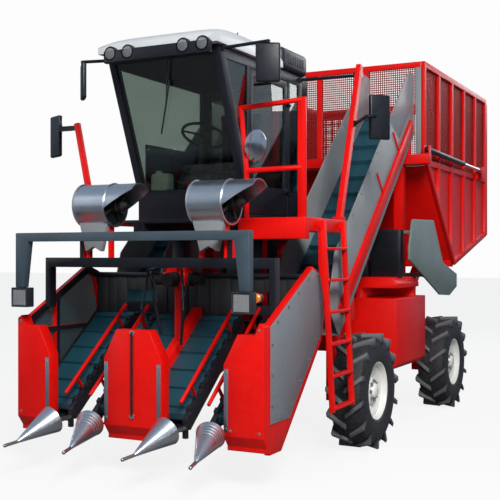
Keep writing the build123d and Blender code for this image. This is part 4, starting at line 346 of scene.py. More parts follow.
def place_piece(bm, name, finish, body, replaced=(), sharp=35):
    """Turns a bmesh into a finished piece that rides on a body."""
    mesh = bpy.data.meshes.new(name)
    bm.to_mesh(mesh)
    bm.free()
    mesh.shade_smooth()
    mesh.set_sharp_from_angle(angle=radians(sharp))
    mesh.materials.append(finish)
    piece = bpy.data.objects.new(name, mesh)
    bpy.context.scene.collection.objects.link(piece)
    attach(piece, body)
    if replaced:
        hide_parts(*replaced)
    return piece


def round_edges(bm, edges, radius, segments=2, clamped=True):
    """Rounds edges over."""
    bmesh.ops.bevel(
        bm,
        geom=edges,
        offset=radius,
        offset_type="OFFSET",
        segments=segments,
        profile=0.5,
        affect="EDGES",
        clamp_overlap=clamped,
        material=-1,
    )


def edges_of(verts):
    """Every edge between the given vertices."""
    kept = set(verts)
    return [e for e in {e for v in kept for e in v.link_edges} if e.verts[0] in kept and e.verts[1] in kept]


def box(bm, low, high, radius=0.0, turn=None, segments=2):
    """A rounded box from its corners, turned about its middle."""
    middle = (Vector(low) + Vector(high)) / 2
    size = Vector(high) - Vector(low)
    at = Matrix.Translation(middle) @ (turn or Matrix()) @ Matrix.Diagonal((*size, 1))
    made = bmesh.ops.create_cube(bm, size=1, matrix=at)["verts"]
    if radius:
        round_edges(bm, edges_of(made), radius, segments)


def toward(start, end):
    """Places a shape along Z between two points."""
    run = Vector(end) - Vector(start)
    turn = run.to_track_quat("Z", "Y").to_matrix().to_4x4()
    return Matrix.Translation((Vector(start) + Vector(end)) / 2) @ turn, run.length


def tube(bm, start, end, radius, end_radius=None, sides=16):
    """A round bar, or a taper, between two points."""
    at, length = toward(start, end)
    bmesh.ops.create_cone(
        bm,
        cap_ends=True,
        segments=sides,
        radius1=radius,
        radius2=radius if end_radius is None else end_radius,
        depth=length,
        matrix=at,
    )


def ball(bm, at, radius):
    """A small ball, such as the weld where two tubes meet."""
    bmesh.ops.create_uvsphere(bm, u_segments=12, v_segments=8, radius=radius, matrix=Matrix.Translation(at))


def flat_bar(bm, start, end, wide, deep, radius=0.003):
    """A rounded flat bar between two points, its width along X as far as it can be."""
    run = (Vector(end) - Vector(start)).normalized()
    across = (Vector((1, 0, 0)) - run * run.x).normalized()
    other = run.cross(across)
    turn = Matrix((across, other, run)).transposed().to_4x4()
    middle = (Vector(start) + Vector(end)) / 2
    half = Vector((wide, deep, (Vector(end) - Vector(start)).length)) / 2
    box(bm, middle - half, middle + half, radius, turn)


def turned(bm, profile, origin, axis, steps=48):
    """A turned shape: a profile of (along, radius) points spun about an axis."""
    part = bmesh.new()
    verts = [part.verts.new((radius, 0, along)) for along, radius in profile]
    edges = [part.edges.new(pair) for pair in zip(verts, verts[1:])]
    bmesh.ops.spin(
        part,
        geom=verts + edges,
        cent=(0, 0, 0),
        axis=(0, 0, 1),
        angle=2 * pi,
        steps=steps,
        use_merge=True,
        use_duplicate=False,
    )
    bmesh.ops.remove_doubles(part, verts=part.verts, dist=0.00001)
    bmesh.ops.recalc_face_normals(part, faces=part.faces)
    turn = Vector(axis).to_track_quat("Z", "Y").to_matrix().to_4x4()
    bmesh.ops.transform(part, matrix=Matrix.Translation(origin) @ turn, verts=part.verts)
    merge_in(bm, part)


def merge_in(bm, part):
    """Moves one bmesh into another."""
    held = bpy.data.meshes.new("held")
    part.to_mesh(held)
    part.free()
    bm.from_mesh(held)
    bpy.data.meshes.remove(held)


def plate(bm, outline, spread, radius=0.0):
    """A flat plate: an outline of points, extruded along a vector, with its edges rounded."""
    part = bmesh.new()
    face = part.faces.new([part.verts.new(p) for p in outline])
    grown = bmesh.ops.extrude_face_region(part, geom=[face])["geom"]
    bmesh.ops.translate(part, vec=spread, verts=[g for g in grown if isinstance(g, bmesh.types.BMVert)])
    bmesh.ops.recalc_face_normals(part, faces=part.faces)
    if radius:
        round_edges(part, list(part.edges), radius)
    merge_in(bm, part)


def bolt(bm, at, axis, across=0.016):
    """A hexagon bolt head on its washer, standing on a surface."""
    out = Vector(axis).normalized()
    foot = Vector(at)
    tube(bm, foot - out * 0.002, foot + out * across * 0.15, across * 0.85, sides=16)
    tube(bm, foot, foot + out * across * 0.7, across * 0.58, across * 0.52, sides=6)


def second_finish(piece, finish, chosen):
    """Gives the faces that a test picks a second finish."""
    piece.data.materials.append(finish)
    for face in piece.data.polygons:
        if chosen(face):
            face.material_index = 1


def reach_x(piece, face):
    """How far a face reaches from the middle."""
    return max(abs(piece.data.vertices[k].co.x) for k in face.vertices)


def netting(bm, corner, across, up, pitch=NET_PITCH, wire_half=NET_WIRE / 2):
    """Crossed square wires over a flat field from a corner, along two of the axes."""
    for way, other in ((across, up), (up, across)):
        count = int(other.length / pitch)
        step = other / count
        for k in range(1, count):
            start = corner + step * k
            ends = [start, start + way]
            low = Vector(min(p[a] for p in ends) for a in range(3)) - Vector((wire_half,) * 3)
            high = Vector(max(p[a] for p in ends) for a in range(3)) + Vector((wire_half,) * 3)
            box(bm, low, high)


def on_screen(x, z, off=0.016):
    """A point just in front of the windscreen."""
    return Vector((x, SILL_Y - (BROW_Y - SILL_Y) / -1.15 * (z - SILL_Z) - off, z))


def apply_modifiers(piece):
    """Bakes a piece's modifiers into its mesh."""
    graph = bpy.context.evaluated_depsgraph_get()
    baked = bpy.data.meshes.new_from_object(piece.evaluated_get(graph))
    piece.modifiers.clear()
    piece.data = baked


def sewn_pad(name, low, high, face, cap=0.022):
    """A cushion blown up from a smaller block, with two sewn channels on its worn face."""
    bm = bmesh.new()
    box(bm, Vector(low) + Vector((0.018,) * 3), Vector(high) - Vector((0.018,) * 3), 0.03, segments=3)
    pad = place_piece(bm, name, seat_cloth, "chassis", ["seat"], 180)
    remesh = pad.modifiers.new("remesh", "REMESH")
    remesh.mode = "VOXEL"
    remesh.voxel_size = 0.006
    apply_modifiers(pad)
    start = [v.co.copy() for v in pad.data.vertices]
    cloth = pad.modifiers.new("cloth", "CLOTH")
    cloth.settings.use_pressure = True
    cloth.settings.uniform_pressure_force = 4.0
    cloth.settings.effector_weights.gravity = 0.0
    for step in range(1, 21):
        bpy.context.scene.frame_set(step)
    apply_modifiers(pad)
    bpy.context.scene.frame_set(1)
    for v, at in zip(pad.data.vertices, start):
        moved = v.co - at
        if moved.length > cap:
            v.co = at + moved * (cap / moved.length)
    for v in pad.data.vertices:
        for x in (-SEAM_X, SEAM_X):
            depth = 1 - abs(v.co.x - x) / SEAM_HALF
            if depth > 0 and v.normal.dot(face) > 0.5:
                v.co -= face * SEAM_DEEP * depth
    pad.data.shade_smooth()
    finer = pad.modifiers.new("finer", "SUBSURF")
    finer.levels = finer.render_levels = 1


# Solids that keep their form: their copies get rounded edges, as folded and welded steel has
ROUNDED = [
    ("main_frame", 0.006), ("gantry", 0.006), ("front_axle", 0.006), ("rear_axle", 0.006),
    ("knuckle_left", 0.006), ("knuckle_right", 0.006), ("side_tanks", 0.012), ("platform", 0.005),
    ("cab_floor", 0.005), ("ladder", 0.004), ("cab_frame", 0.008), ("door_frame", 0.006),
    ("roof_box", 0.025), ("lamp_beam", 0.006), ("header_frame", 0.004), ("front_panels", 0.003),
    ("bin_side_left", 0.003), ("bin_side_right", 0.003), ("bin_hopper", 0.003), ("bin_front", 0.004),
    ("bin_rear_beam", 0.003), ("tailgate", 0.004), ("elevator_casings", 0.003),
    ("elevator_channels", 0.004), ("belt_guard", 0.006), ("engine", 0.01), ("wear_strips", 0.0015),
    ("header_belts", 0.004), ("elevator_belts", 0.004), ("chain_beams", 0.003), ("side_sheets", 0.001),
    ("elevator_hoods", 0.001), ("railing", 0.006), ("guard_rods", 0.004), ("mirror_arms", 0.006),
    ("tip_barrels", 0.006), ("tip_rods", 0.004), ("lift_barrels", 0.006), ("lift_rods", 0.004),
    ("tie_rod", 0.004),
]
PIECES = {}
MIRRORS = [
    Vector((0.96, -2.615, 3.21)), Vector((-0.78, -2.615, 3.21)), Vector((1.4487, -1.46, 2.91)),
    Vector((-1.4367, -2.156, 2.83)),
]
for node_name, radius in ROUNDED:
    worked = bmesh.new()
    worked.from_mesh(NODES[node_name].data)
    bmesh.ops.remove_doubles(worked, verts=worked.verts, dist=0.00005)
    bmesh.ops.dissolve_limit(worked, angle_limit=radians(0.5), verts=worked.verts, edges=worked.edges)
    folds = [e for e in worked.edges if len(e.link_faces) == 2 and e.calc_face_angle(0) > radians(28)]
    if node_name == "mirror_arms":
        shell = [e for e in folds if all(any((v.co - m).length < 0.26 for m in MIRRORS) for v in e.verts)]
        shell = [e for e in shell if e.calc_face_angle(0) > radians(80) and e.calc_length() > 0.036]
        round_edges(worked, shell, 0.016, 3, False)
        folds = []
    round_edges(worked, folds, radius)
    PIECES[node_name] = place_piece(
        worked,
        f"{node_name}_rounded",
        NODES[node_name].material_slots[0].material,
        BODY_OF[node_name],
        [node_name],
    )

# Tyres: a round carcass with bevelled lugs, and the rims with their nuts and hub caps
CARCASS = [
    (-0.134, 0.2630), (-0.150, 0.275), (-0.159, 0.320), (-0.161, 0.375), (-0.153, 0.430), (-0.136, 0.466),
    (-0.100, 0.4805), (-0.050, 0.4845), (0.0, 0.4855),
]
RIM = [
    (-0.140, 0.2612), (-0.140, 0.2535), (-0.128, 0.2450), (-0.100, 0.2420), (0.100, 0.2420), (0.128, 0.2450),
    (0.140, 0.2535), (0.140, 0.2612), (0.132, 0.2625), (-0.132, 0.2625), (-0.140, 0.2612),
]
DISC = [
    (0.084, 0.2425), (0.088, 0.215), (0.066, 0.180), (0.060, 0.135), (0.088, 0.112), (0.096, 0.104),
    (0.096, 0.0405), (0.080, 0.0405), (0.080, 0.098), (0.048, 0.125), (0.054, 0.185), (0.074, 0.220),
    (0.072, 0.2425), (0.084, 0.2425),
]
CAP = [(0.094, 0.068), (0.112, 0.066), (0.126, 0.056), (0.134, 0.040), (0.137, 0.0)]
for corner, side, axle_y in [
    ("front_left", 1, FRONT_AXLE_Y),
    ("front_right", -1, FRONT_AXLE_Y),
    ("rear_left", 1, REAR_AXLE_Y),
    ("rear_right", -1, REAR_AXLE_Y),
]:
    low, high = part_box(f"tyre_{corner}")
    hub = Vector((side * WHEEL_X, axle_y, (low[2] + high[2]) / 2))
    wheel = f"wheel_{corner}"
    tyre = bmesh.new()
    turned(tyre, CARCASS + [(-a, r) for a, r in CARCASS[-2::-1]] + CARCASS[:1], hub, (1, 0, 0), 84)
    for hand, phase in ((1, 0.0), (-1, 0.5)):
        for k in range(LUGS_A_SIDE):
            angle = radians(-90 + 360 / LUGS_A_SIDE * (k + phase))
            out = Vector((0, cos(angle), sin(angle)))
            round_way = Vector((0, sin(angle), -cos(angle)))
            long_way = Vector((hand * 0.159, 0, 0)) + round_way * 0.122
            middle = hub + out * 0.463 + Vector((hand * 0.0855, 0, 0))
            shear = Matrix((long_way, round_way * 0.044, out * 0.0995)).transposed().to_4x4()
            made = bmesh.ops.create_cube(tyre, size=1, matrix=Matrix.Translation(middle) @ shear)["verts"]
            round_edges(tyre, edges_of(made), 0.007)
    bmesh.ops.recalc_face_normals(tyre, faces=tyre.faces)
    worn = tyre.verts.layers.float.new("lug_wear")
    for v in tyre.verts:
        reach = sqrt((v.co.y - hub.y) ** 2 + (v.co.z - hub.z) ** 2)
        v[worn] = 1.0 if reach > LUG_TOP else 0.0
    place_piece(tyre, f"tyre_{corner}_round", tyre_rubber, wheel, [f"tyre_{corner}"])
    rim = bmesh.new()
    turned(rim, RIM, hub, (side, 0, 0), 72)
    turned(rim, DISC, hub, (side, 0, 0), 72)
    place_piece(rim, f"rim_{corner}_round", white_enamel, wheel, [f"rim_{corner}"])
    nuts = bmesh.new()
    for k in range(8):
        angle = 2 * pi * k / 8
        spot = hub + Vector((side * 0.096, 0.085 * cos(angle), 0.085 * sin(angle)))
        bolt(nuts, spot, (side, 0, 0), 0.024)
    place_piece(nuts, f"wheel_nuts_{corner}", zinc_plate, wheel)
    cap = bmesh.new()
    turned(cap, CAP, hub, (side, 0, 0), 32)
    place_piece(cap, f"hub_cap_{corner}", white_enamel, wheel)

# Header seen from the front: its inner members are painted black as painted shade of the dark cavity within;
# the outer ring and the keel are red
header_ring = PIECES["header_frame"]
second_finish(
    header_ring,
    black_enamel,
    lambda f: KEEL_HALF < reach_x(header_ring, f) < RING_INNER and f.center.z < RING_TOP,
)
# The main frame's front end, under the platform, is painted black as painted shade
second_finish(PIECES["main_frame"], black_enamel, lambda f: f.center.y < -1.25)
# Bin's front: a red rail along the top, red posts, and grey strips on the corner posts and the sill
second_finish(PIECES["bin_front"], red_enamel, lambda f: f.center.z > 2.79 and abs(f.center.x) < 1.10)
second_finish(PIECES["bin_front"], red_enamel, lambda f: f.center.z > 3.735)
corners = bmesh.new()
for low_x, high_x in ((1.110, 1.170), (-1.170, -1.110)):
    box(corners, (low_x, 0.6640, 2.762), (high_x, 0.6710, 3.738), 0.002)
box(corners, (-1.170, 0.6640, 2.702), (1.170, 0.6710, 2.758), 0.002)
place_piece(corners, "bin_corner_strips", pale_grey_enamel, "bin")
# Side sheets: their inside faces get a film of painted shade, so the header is dark within and pale from
# outside
second_finish(PIECES["side_sheets"], painted_shade_film, lambda f: f.normal.x * f.center.x < -0.5)

# Black sheets under the header's belts: painted shade, closing the gaps where the floor would show through
shade_pans = bmesh.new()
for low_x, high_x in ((0.70, 1.055), (0.09, 0.38), (-0.38, -0.09), (-1.055, -0.70)):
    outline = [(-2.886, 0.385), (-2.000, 1.090), (-2.004, 1.094), (-2.890, 0.389)]
    plate(shade_pans, [(low_x, y, z) for y, z in outline], (high_x - low_x, 0, 0))
place_piece(shade_pans, "belt_shade_pans", black_enamel, "header")

# Fans: stainless drums with a domed end, rolled flanges and a scoop that opens at the lower left
drums, rotors, motors, nozzles = bmesh.new(), bmesh.new(), bmesh.new(), bmesh.new()
for row in (ROW_X, -ROW_X):
    right, left = row - 0.155, row + 0.155
    middle = Vector((0, FAN_Y, FAN_Z))
    profile = [
        (right - 0.030, 0.0), (right - 0.030, 0.112), (right - 0.024, 0.128), (right - 0.004, 0.146),
        (right, 0.168), (right, 0.180), (right + 0.004, 0.182), (right + 0.010, 0.180),
        (right + 0.014, 0.172), (left - 0.014, 0.172), (left - 0.010, 0.180), (left - 0.004, 0.182),
        (left, 0.180), (left, 0.166), (right + 0.012, 0.166), (right + 0.006, 0.0),
    ]
    turned(drums, profile, middle, (1, 0, 0), 64)
    scoop = bmesh.new()
    turned(scoop, [(left - 0.002, 0.172), (left + 0.240, 0.172)], middle, (1, 0, 0), 64)
    bmesh.ops.bisect_plane(
        scoop,
        geom=list(scoop.verts) + list(scoop.edges) + list(scoop.faces),
        plane_co=(left, FAN_Y, FAN_Z - 0.03),
        plane_no=(0.160, 0, -0.2595),
        clear_outer=True,
    )
    bmesh.ops.solidify(scoop, geom=list(scoop.faces), thickness=0.006)
    bmesh.ops.recalc_face_normals(scoop, faces=scoop.faces)
    merge_in(drums, scoop)
    turned(
        rotors, [(left - 0.050, 0.0), (left - 0.050, 0.155), (left - 0.040, 0.158), (left - 0.036, 0.0)],
        middle, (1, 0, 0),
    )
    for k in range(12):
        angle = 2 * pi * k / 12
        out = Vector((0, cos(angle), sin(angle)))
        blade = middle + Vector((left - 0.03, 0, 0))
        flat_bar(rotors, blade + out * 0.07, blade + out * 0.152, 0.03, 0.004, 0.0)
    turned(
        motors, [(left - 0.040, 0.0), (left - 0.040, 0.062), (left + 0.030, 0.062), (left + 0.040, 0.052),
        (left + 0.075, 0.050), (left + 0.082, 0.040), (left + 0.110, 0.018), (left + 0.112, 0.0)], middle,
        (1, 0, 0), 32,
    )
    for angle in (30, 120, 210, 300):
        out = Vector((0, cos(radians(angle)), sin(radians(angle))))
        arm = middle + Vector((left - 0.004, 0, 0))
        flat_bar(motors, arm, arm + out * 0.166, 0.012, 0.024)
        bolt(motors, middle + Vector((left + 0.040, 0, 0)) + out * 0.045, (1, 0, 0), 0.014)
    low, high = FAN_Z - 0.38, FAN_Z - 0.142
    outline = [
        (row - 0.14, high), (row + 0.14, high), (row + 0.075, low), (row, low + 0.04), (row - 0.075, low),
    ]
    plate(nozzles, [(x, FAN_Y - 0.10, z) for x, z in outline], (0, 0.055, 0), 0.004)
place_piece(drums, "fan_drums", brushed_stainless, "header", ["fan_housings"], 30)
place_piece(rotors, "fan_rotors", black_enamel, "header", ["fan_housings"])
place_piece(motors, "fan_motors", cast_iron, "header", ["fan_housings"])
place_piece(nozzles, "fan_nozzles", pale_grey_enamel, "header", ["fan_housings"])

# Divider cones: rolled stainless with a hemmed rim, the inner one of each pair ringed, over a steel bar
cones, bars = bmesh.new(), bmesh.new()
for row in (ROW_X, -ROW_X):
    for side in (1, -1):
        base = Vector((row + side * 0.185, -3.085, 0.43))
        point = Vector((row + side * 0.255, -3.42, 0.305))
        reach = (point - base).length
        taper = POINT_RADIUS - CONE_RADIUS
        profile = [(0.010, 0.0), (0.010, 0.104), (0.0, 0.108), (0.0, 0.112), (0.004, 0.1135)]
        rings = (0.035, 0.060, 0.085, 0.110) if side == 1 else ()
        for at in rings:
            for shift, sink in ((-0.004, 0.0), (0.0, 0.004), (0.004, 0.0)):
                profile.append((at + shift, CONE_RADIUS + taper * (at + shift) / reach - sink))
        profile += [(reach * k / 6, CONE_RADIUS + taper * k / 6) for k in (3, 4, 5, 6)]
        profile += [(reach + 0.008, 0.008), (reach + 0.010, 0.0)]
        turned(cones, profile, base, point - base, 56)
        tube(bars, (base.x, -3.075, 0.34), (row + side * 0.28, -3.540, 0.291), 0.013)
        ball(bars, (row + side * 0.28, -3.534, 0.291), 0.0145)
        tube(bars, (row + side * 0.12, -2.95, 0.43), (row + side * 0.12, -3.10, 0.43), 0.018)
        tube(bars, (row + side * 0.12, -3.09, 0.43), (base.x, -3.09, 0.43), 0.014)
place_piece(cones, "divider_cones_rolled", brushed_stainless, "header", ["divider_cones"], 30)
place_piece(bars, "divider_bars", zinc_plate, "header", ["divider_cones"])

# Cab roof: a crowned gelcoat moulding with two small aerial bases, and a dark vented cowl behind it
roof = bmesh.new()
bmesh.ops.create_grid(roof, x_segments=24, y_segments=32, size=1)
for v in roof.verts:
    u, w = v.co.x, v.co.y
    crown = ROOF_CROWN * max(1 - u ** 8, 0) ** 0.5 * (max(1 + min(w, 0) ** 3, 0) ** 0.7)
    y = (ROOF_Y[0] + ROOF_Y[1]) / 2 + w * (ROOF_Y[1] - ROOF_Y[0]) / 2
    v.co = (u * ROOF_HALF, y, ROOF_EAVE + crown)
roof_edge = [e for e in roof.edges if len(e.link_faces) == 1]
skirt = bmesh.ops.extrude_edge_only(roof, edges=roof_edge)["geom"]
for v in skirt:
    if isinstance(v, bmesh.types.BMVert):
        v.co.z = ROOF_FOOT
bmesh.ops.contextual_create(roof, geom=[e for e in roof.edges if len(e.link_faces) == 1])
bmesh.ops.recalc_face_normals(roof, faces=roof.faces)
place_piece(roof, "cab_roof_crowned", white_gelcoat, "chassis", ["cab_roof"], 50)
cowl = bmesh.new()
box(cowl, (-0.570, -1.515, 3.402), (0.570, -0.962, 3.600), 0.045, segments=4)
for side in (1, -1):
    for y in [-1.40 + 0.04 * k for k in range(9)]:
        box(cowl, (side * 0.568 - 0.006, y, 3.455), (side * 0.568 + 0.006, y + 0.014, 3.545), 0.003)
place_piece(cowl, "roof_cowl", grained_plastic, "chassis", ["cab_roof"])
aerials = bmesh.new()
for x, y in ((-0.34, -2.05), (0.40, -2.05)):
    turned(
        aerials, [(0.0, 0.022), (0.012, 0.020), (0.018, 0.008), (0.055, 0.005), (0.058, 0.0)],
        (x, y, 3.560), (0, 0, 1), 20,
    )
place_piece(aerials, "roof_aerials", black_rubber, "chassis")

# Lamp bar: a black bar whose top swells round four work lamps
lamp_bar, reflectors, lenses = bmesh.new(), bmesh.new(), bmesh.new()
box(lamp_bar, (-0.475, -2.75, 3.310), (0.520, -2.698, 3.412), 0.010)
for x in LAMP_X:
    at = Vector((x, -2.75, LAMP_Z))
    turned(
        lamp_bar, [(-0.050, 0.0), (-0.050, 0.056), (-0.044, 0.060), (-0.004, 0.060), (0.0, 0.057),
        (0.0, 0.047), (-0.006, 0.045), (-0.030, 0.030), (-0.036, 0.0)], at, (0, -1, 0),
    )
    turned(reflectors, [(-0.004, 0.0445), (-0.020, 0.036), (-0.030, 0.022), (-0.032, 0.0)], at, (0, -1, 0))
    ball(reflectors, at + Vector((0, 0.018, 0)), 0.009)
    turned(
        lenses, [(-0.004, 0.0), (-0.004, 0.046), (0.0, 0.046), (0.005, 0.034), (0.008, 0.0)], at,
        (0, -1, 0),
    )
place_piece(lamp_bar, "lamp_bar_lobed", black_enamel, "chassis", ["lamp_bar", "roof_lamps"])
place_piece(reflectors, "roof_lamp_reflectors", lamp_reflector, "chassis")
place_piece(lenses, "roof_lamp_lenses", lamp_lens, "chassis", ["roof_lamps"])

# Headlamps: black square shells with a bright bowl behind a fluted lens, and an indicator behind the left one
shells, bowls, covers = bmesh.new(), bmesh.new(), bmesh.new()
for side in (1, -1):
    low_x, high_x = sorted((side * 0.93, side * 1.09))
    part = bmesh.new()
    box(part, (low_x, -3.158, 1.322), (high_x, -3.066, 1.479))
    front = [f for f in part.faces if f.normal.y < -0.9]
    bmesh.ops.inset_region(part, faces=front, thickness=0.016, depth=0.0)
    bmesh.ops.inset_region(part, faces=front, thickness=0.002, depth=-0.020)
    round_edges(part, [e for e in part.edges if e.calc_face_angle(0) > 1], 0.010)
    merge_in(shells, part)
    at = Vector((side * HEADLAMP_X, -3.138, HEADLAMP_Z))
    turned(bowls, [(0.0, 0.060), (-0.024, 0.046), (-0.040, 0.026), (-0.044, 0.0)], at, (0, -1, 0))
    ball(bowls, at + Vector((0, 0.022, 0)), 0.014)
    box(covers, (low_x + 0.017, -3.155, 1.339), (high_x - 0.017, -3.149, 1.462), 0.002)
    tube(shells, (side * HEADLAMP_X, -3.10, 1.475), (side * HEADLAMP_X, -3.10, 1.49), 0.02)
box(shells, (1.035, -3.068, 1.425), (1.065, -2.985, 1.433))
turned(
    shells, [(0.0, 0.0), (0.0, 0.040), (0.030, 0.040), (0.034, 0.036), (0.034, 0.0)], INDICATOR, (0, -1, 0),
    32,
)
amber = bmesh.new()
turned(
    amber, [(0.034, 0.0), (0.034, 0.036), (0.048, 0.034), (0.058, 0.022), (0.061, 0.0)], INDICATOR,
    (0, -1, 0), 32,
)
place_piece(shells, "headlamp_shells", grained_plastic, "header", ["headlamps"])
place_piece(bowls, "headlamp_bowls", lamp_reflector, "header", ["headlamps"])
place_piece(covers, "headlamp_lenses", lamp_lens, "header", ["headlamps"])
place_piece(amber, "indicator_lens", amber_lens, "header")

# Header drive: red box with its cover, black motors on it and rigid pipes between them
drive, motor_set, pipes, heads = bmesh.new(), bmesh.new(), bmesh.new(), bmesh.new()
box(drive, (-0.11, -2.42, 1.48), (0.11, -2.24, 1.60), 0.012)
box(drive, (-0.095, -2.405, 1.598), (0.095, -2.255, 1.700), 0.010)
for side in (1, -1):
    turned(
        motor_set, [(0.105, 0.0), (0.105, 0.058), (0.125, 0.058), (0.125, 0.048), (0.200, 0.048),
        (0.204, 0.052), (0.226, 0.050), (0.230, 0.0)], GEARBOX, (side, 0, 0), 32,
    )
    for radius, points in (
        (0.013, [(0.19, -2.345, 1.585), (0.20, -2.47, 1.60), (0.15, -2.50, 1.40), (0.10, -2.46, 1.10)]),
        (0.011, [(0.05, -2.43, 1.66), (0.16, -2.56, 1.62), (0.20, -2.60, 1.30), (0.13, -2.52, 1.02)]),
    ):
        points = [(side * x, y, z) for x, y, z in points]
        for start, end in zip(points, points[1:]):
            tube(pipes, start, end, radius, sides=12)
            ball(pipes, end, radius + 0.0005)
    for x, y in ((0.08, -2.39), (0.08, -2.27)):
        bolt(heads, (side * x, y, 1.70), (0, 0, 1), 0.014)
    for z in (1.50, 1.58):
        bolt(heads, (side * 0.09, -2.42, z), (0, -1, 0), 0.014)
turned(
    motor_set, [(0.080, 0.0), (0.080, 0.066), (0.100, 0.066), (0.100, 0.055), (0.170, 0.055),
    (0.176, 0.060), (0.196, 0.056), (0.200, 0.0)], GEARBOX, (0, -1, 0), 32,
)
place_piece(drive, "gearbox_case", red_enamel, "header", ["header_gearbox"])
place_piece(motor_set, "gearbox_motors", cast_iron, "header", ["header_gearbox"])
place_piece(pipes, "header_pipes", black_enamel, "header")
place_piece(heads, "gearbox_bolts", zinc_plate, "header")

# Netting round the top of the bin and in its tailgate: wires of 4 mm about 12 mm apart, drawn at twice
# that so that they show
nets = bmesh.new()
for x in (1.176, -1.176):
    netting(nets, Vector((x, 0.70, 2.75)), Vector((0, 2.76, 0)), Vector((0, 0, 1.0)))
netting(nets, Vector((-1.12, 0.69, 3.34)), Vector((2.24, 0, 0)), Vector((0, 0, 0.41)))
netting(nets, Vector((-0.56, 0.69, 2.75)), Vector((1.12, 0, 0)), Vector((0, 0, 0.59)))
place_piece(nets, "bin_netting", dark_red_wire, "bin")
gate_net = bmesh.new()
gate_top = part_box("tailgate")[1].z - 0.10
netting(gate_net, Vector((-1.16, 3.525, 2.75)), Vector((2.32, 0, 0)), Vector((0, 0, gate_top - 2.75)))
place_piece(gate_net, "tailgate_netting", dark_red_wire, "tailgate")

# Elevators: two short pegs on each outer wall, and the rows of screws along the channels
lift_run = (LIFT_HEAD - LIFT_FOOT).normalized()
lift_rise = Vector((0, -lift_run.z, lift_run.y))
pegs, screws = bmesh.new(), bmesh.new()
for side in (1, -1):
    for run in (1.70, 2.36):
        foot = LIFT_FOOT + lift_run * run + Vector((side * 1.112, 0, 0))
        flat_bar(pegs, foot, foot + lift_rise * 0.235, 0.014, 0.028, 0.004)
        bolt(screws, foot + lift_rise * 0.215 + Vector((side * 0.007, 0, 0)), (side, 0, 0), 0.014)
    for run in [0.35 + 0.30 * k for k in range(8)]:
        at = LIFT_FOOT + lift_run * run + lift_rise * 0.36
        bolt(screws, at + Vector((side * LIFT_OUTER, 0, 0)), (side, 0, 0), 0.013)
place_piece(pegs, "elevator_pegs", red_enamel, "chassis")
place_piece(screws, "elevator_screws", zinc_plate, "chassis")

# Rubber flaps behind the header's belts, hung from a bar between its sides; short over the rows
flaps, flap_bar = bmesh.new(), bmesh.new()
box(flap_bar, (-1.079, -2.052, 1.555), (1.079, -2.028, 1.587), 0.004)
for k in range(20):
    x = -1.055 + 0.1055 * k
    foot = 1.43 if min(abs(x + 0.05 - ROW_X), abs(x + 0.05 + ROW_X)) < 0.16 else 1.225
    back = -2.022 + 0.007 * (k % 2)
    box(flaps, (x, back - 0.006, foot), (x + 0.1085, back, 1.580), 0.002)
place_piece(flap_bar, "flap_bar", black_enamel, "header")
place_piece(flaps, "inlet_flaps", black_rubber, "header")

# Screws of the side sheets and wear strips, and the rod down the middle of the centre panel
fixings, slide = bmesh.new(), bmesh.new()
SHEET_EDGE = [
    (-2.895, 0.53), (-2.605, 0.535), (-1.975, 1.14), (-1.935, 1.26), (-2.01, 1.555), (-2.14, 1.60),
    (-2.895, 1.20),
]
for side in (1, -1):
    for (y1, z1), (y2, z2) in zip(SHEET_EDGE, SHEET_EDGE[1:] + SHEET_EDGE[:1]):
        run = Vector((0, y2 - y1, z2 - z1))
        count = max(int(run.length / SHEET_SCREW_GAP), 1)
        for k in range(count):
            at = Vector((side * 1.13, y1, z1)) + run * (k + 0.5) / count
            bolt(fixings, at, (side, 0, 0), 0.013)
    for x in (0.8235, 0.2415):
        for z in (0.475, 0.885):
            turned(
                fixings, [(0.0, 0.0), (0.0, 0.009), (0.003, 0.007), (0.0045, 0.0)], (side * x, -3.0355, z),
                (0, -1, 0), 16,
            )
    for x, z in ((1.095, 1.20), (1.095, 0.46), (0.86, 0.46)):
        bolt(fixings, (side * x, PANEL_Y, z), (0, -1, 0), 0.013)
tube(slide, (0.0, PANEL_Y - 0.008, 0.50), (0.0, PANEL_Y - 0.008, 1.15), 0.010)
for z in (0.50, 1.14):
    turned(fixings, [(0.0, 0.0), (0.0, 0.022), (0.010, 0.020), (0.014, 0.0)], (0, PANEL_Y, z), (0, -1, 0), 24)
place_piece(fixings, "header_screws", zinc_plate, "header")
place_piece(slide, "centre_rod", black_enamel, "header")

# Round observation mirror inside the railing, turned to the driver
dish, stem = bmesh.new(), bmesh.new()
turned(
    dish, [(0.0, 0.0), (0.002, 0.060), (0.010, 0.110), (0.020, 0.130), (0.026, 0.133), (0.026, 0.128),
    (0.016, 0.100), (0.008, 0.0)], (0.70, -2.262, 2.62), (-0.95, 0.25, 0.15), 48,
)
tube(stem, (0.700, -2.262, 2.505), (0.625, -2.318, 2.42), 0.008)
place_piece(dish, "observation_mirror", chromed_steel, "chassis")
place_piece(stem, "observation_stem", black_enamel, "chassis")

# Wiper on the windscreen, lying on its slope
wiper = bmesh.new()
tube(wiper, on_screen(0.06, 3.345, 0.02), on_screen(-0.05, 2.97, 0.018), 0.006, sides=10)
flat_bar(wiper, on_screen(0.03, 3.16), on_screen(-0.15, 2.76), 0.010, 0.016, 0.002)
turned(
    wiper, [(-0.02, 0.0), (-0.02, 0.022), (0.012, 0.020), (0.016, 0.0)], on_screen(0.06, 3.345, 0.012),
    (0, -1, 0.4), 20,
)
place_piece(wiper, "wiper", black_rubber, "chassis")

# Dark trim inside the right wall, under its window line
trim = bmesh.new()
box(trim, (-0.508, -2.08, 2.07), (-0.492, -1.09, 2.72), 0.006)
place_piece(trim, "cab_trim", grained_plastic, "chassis")

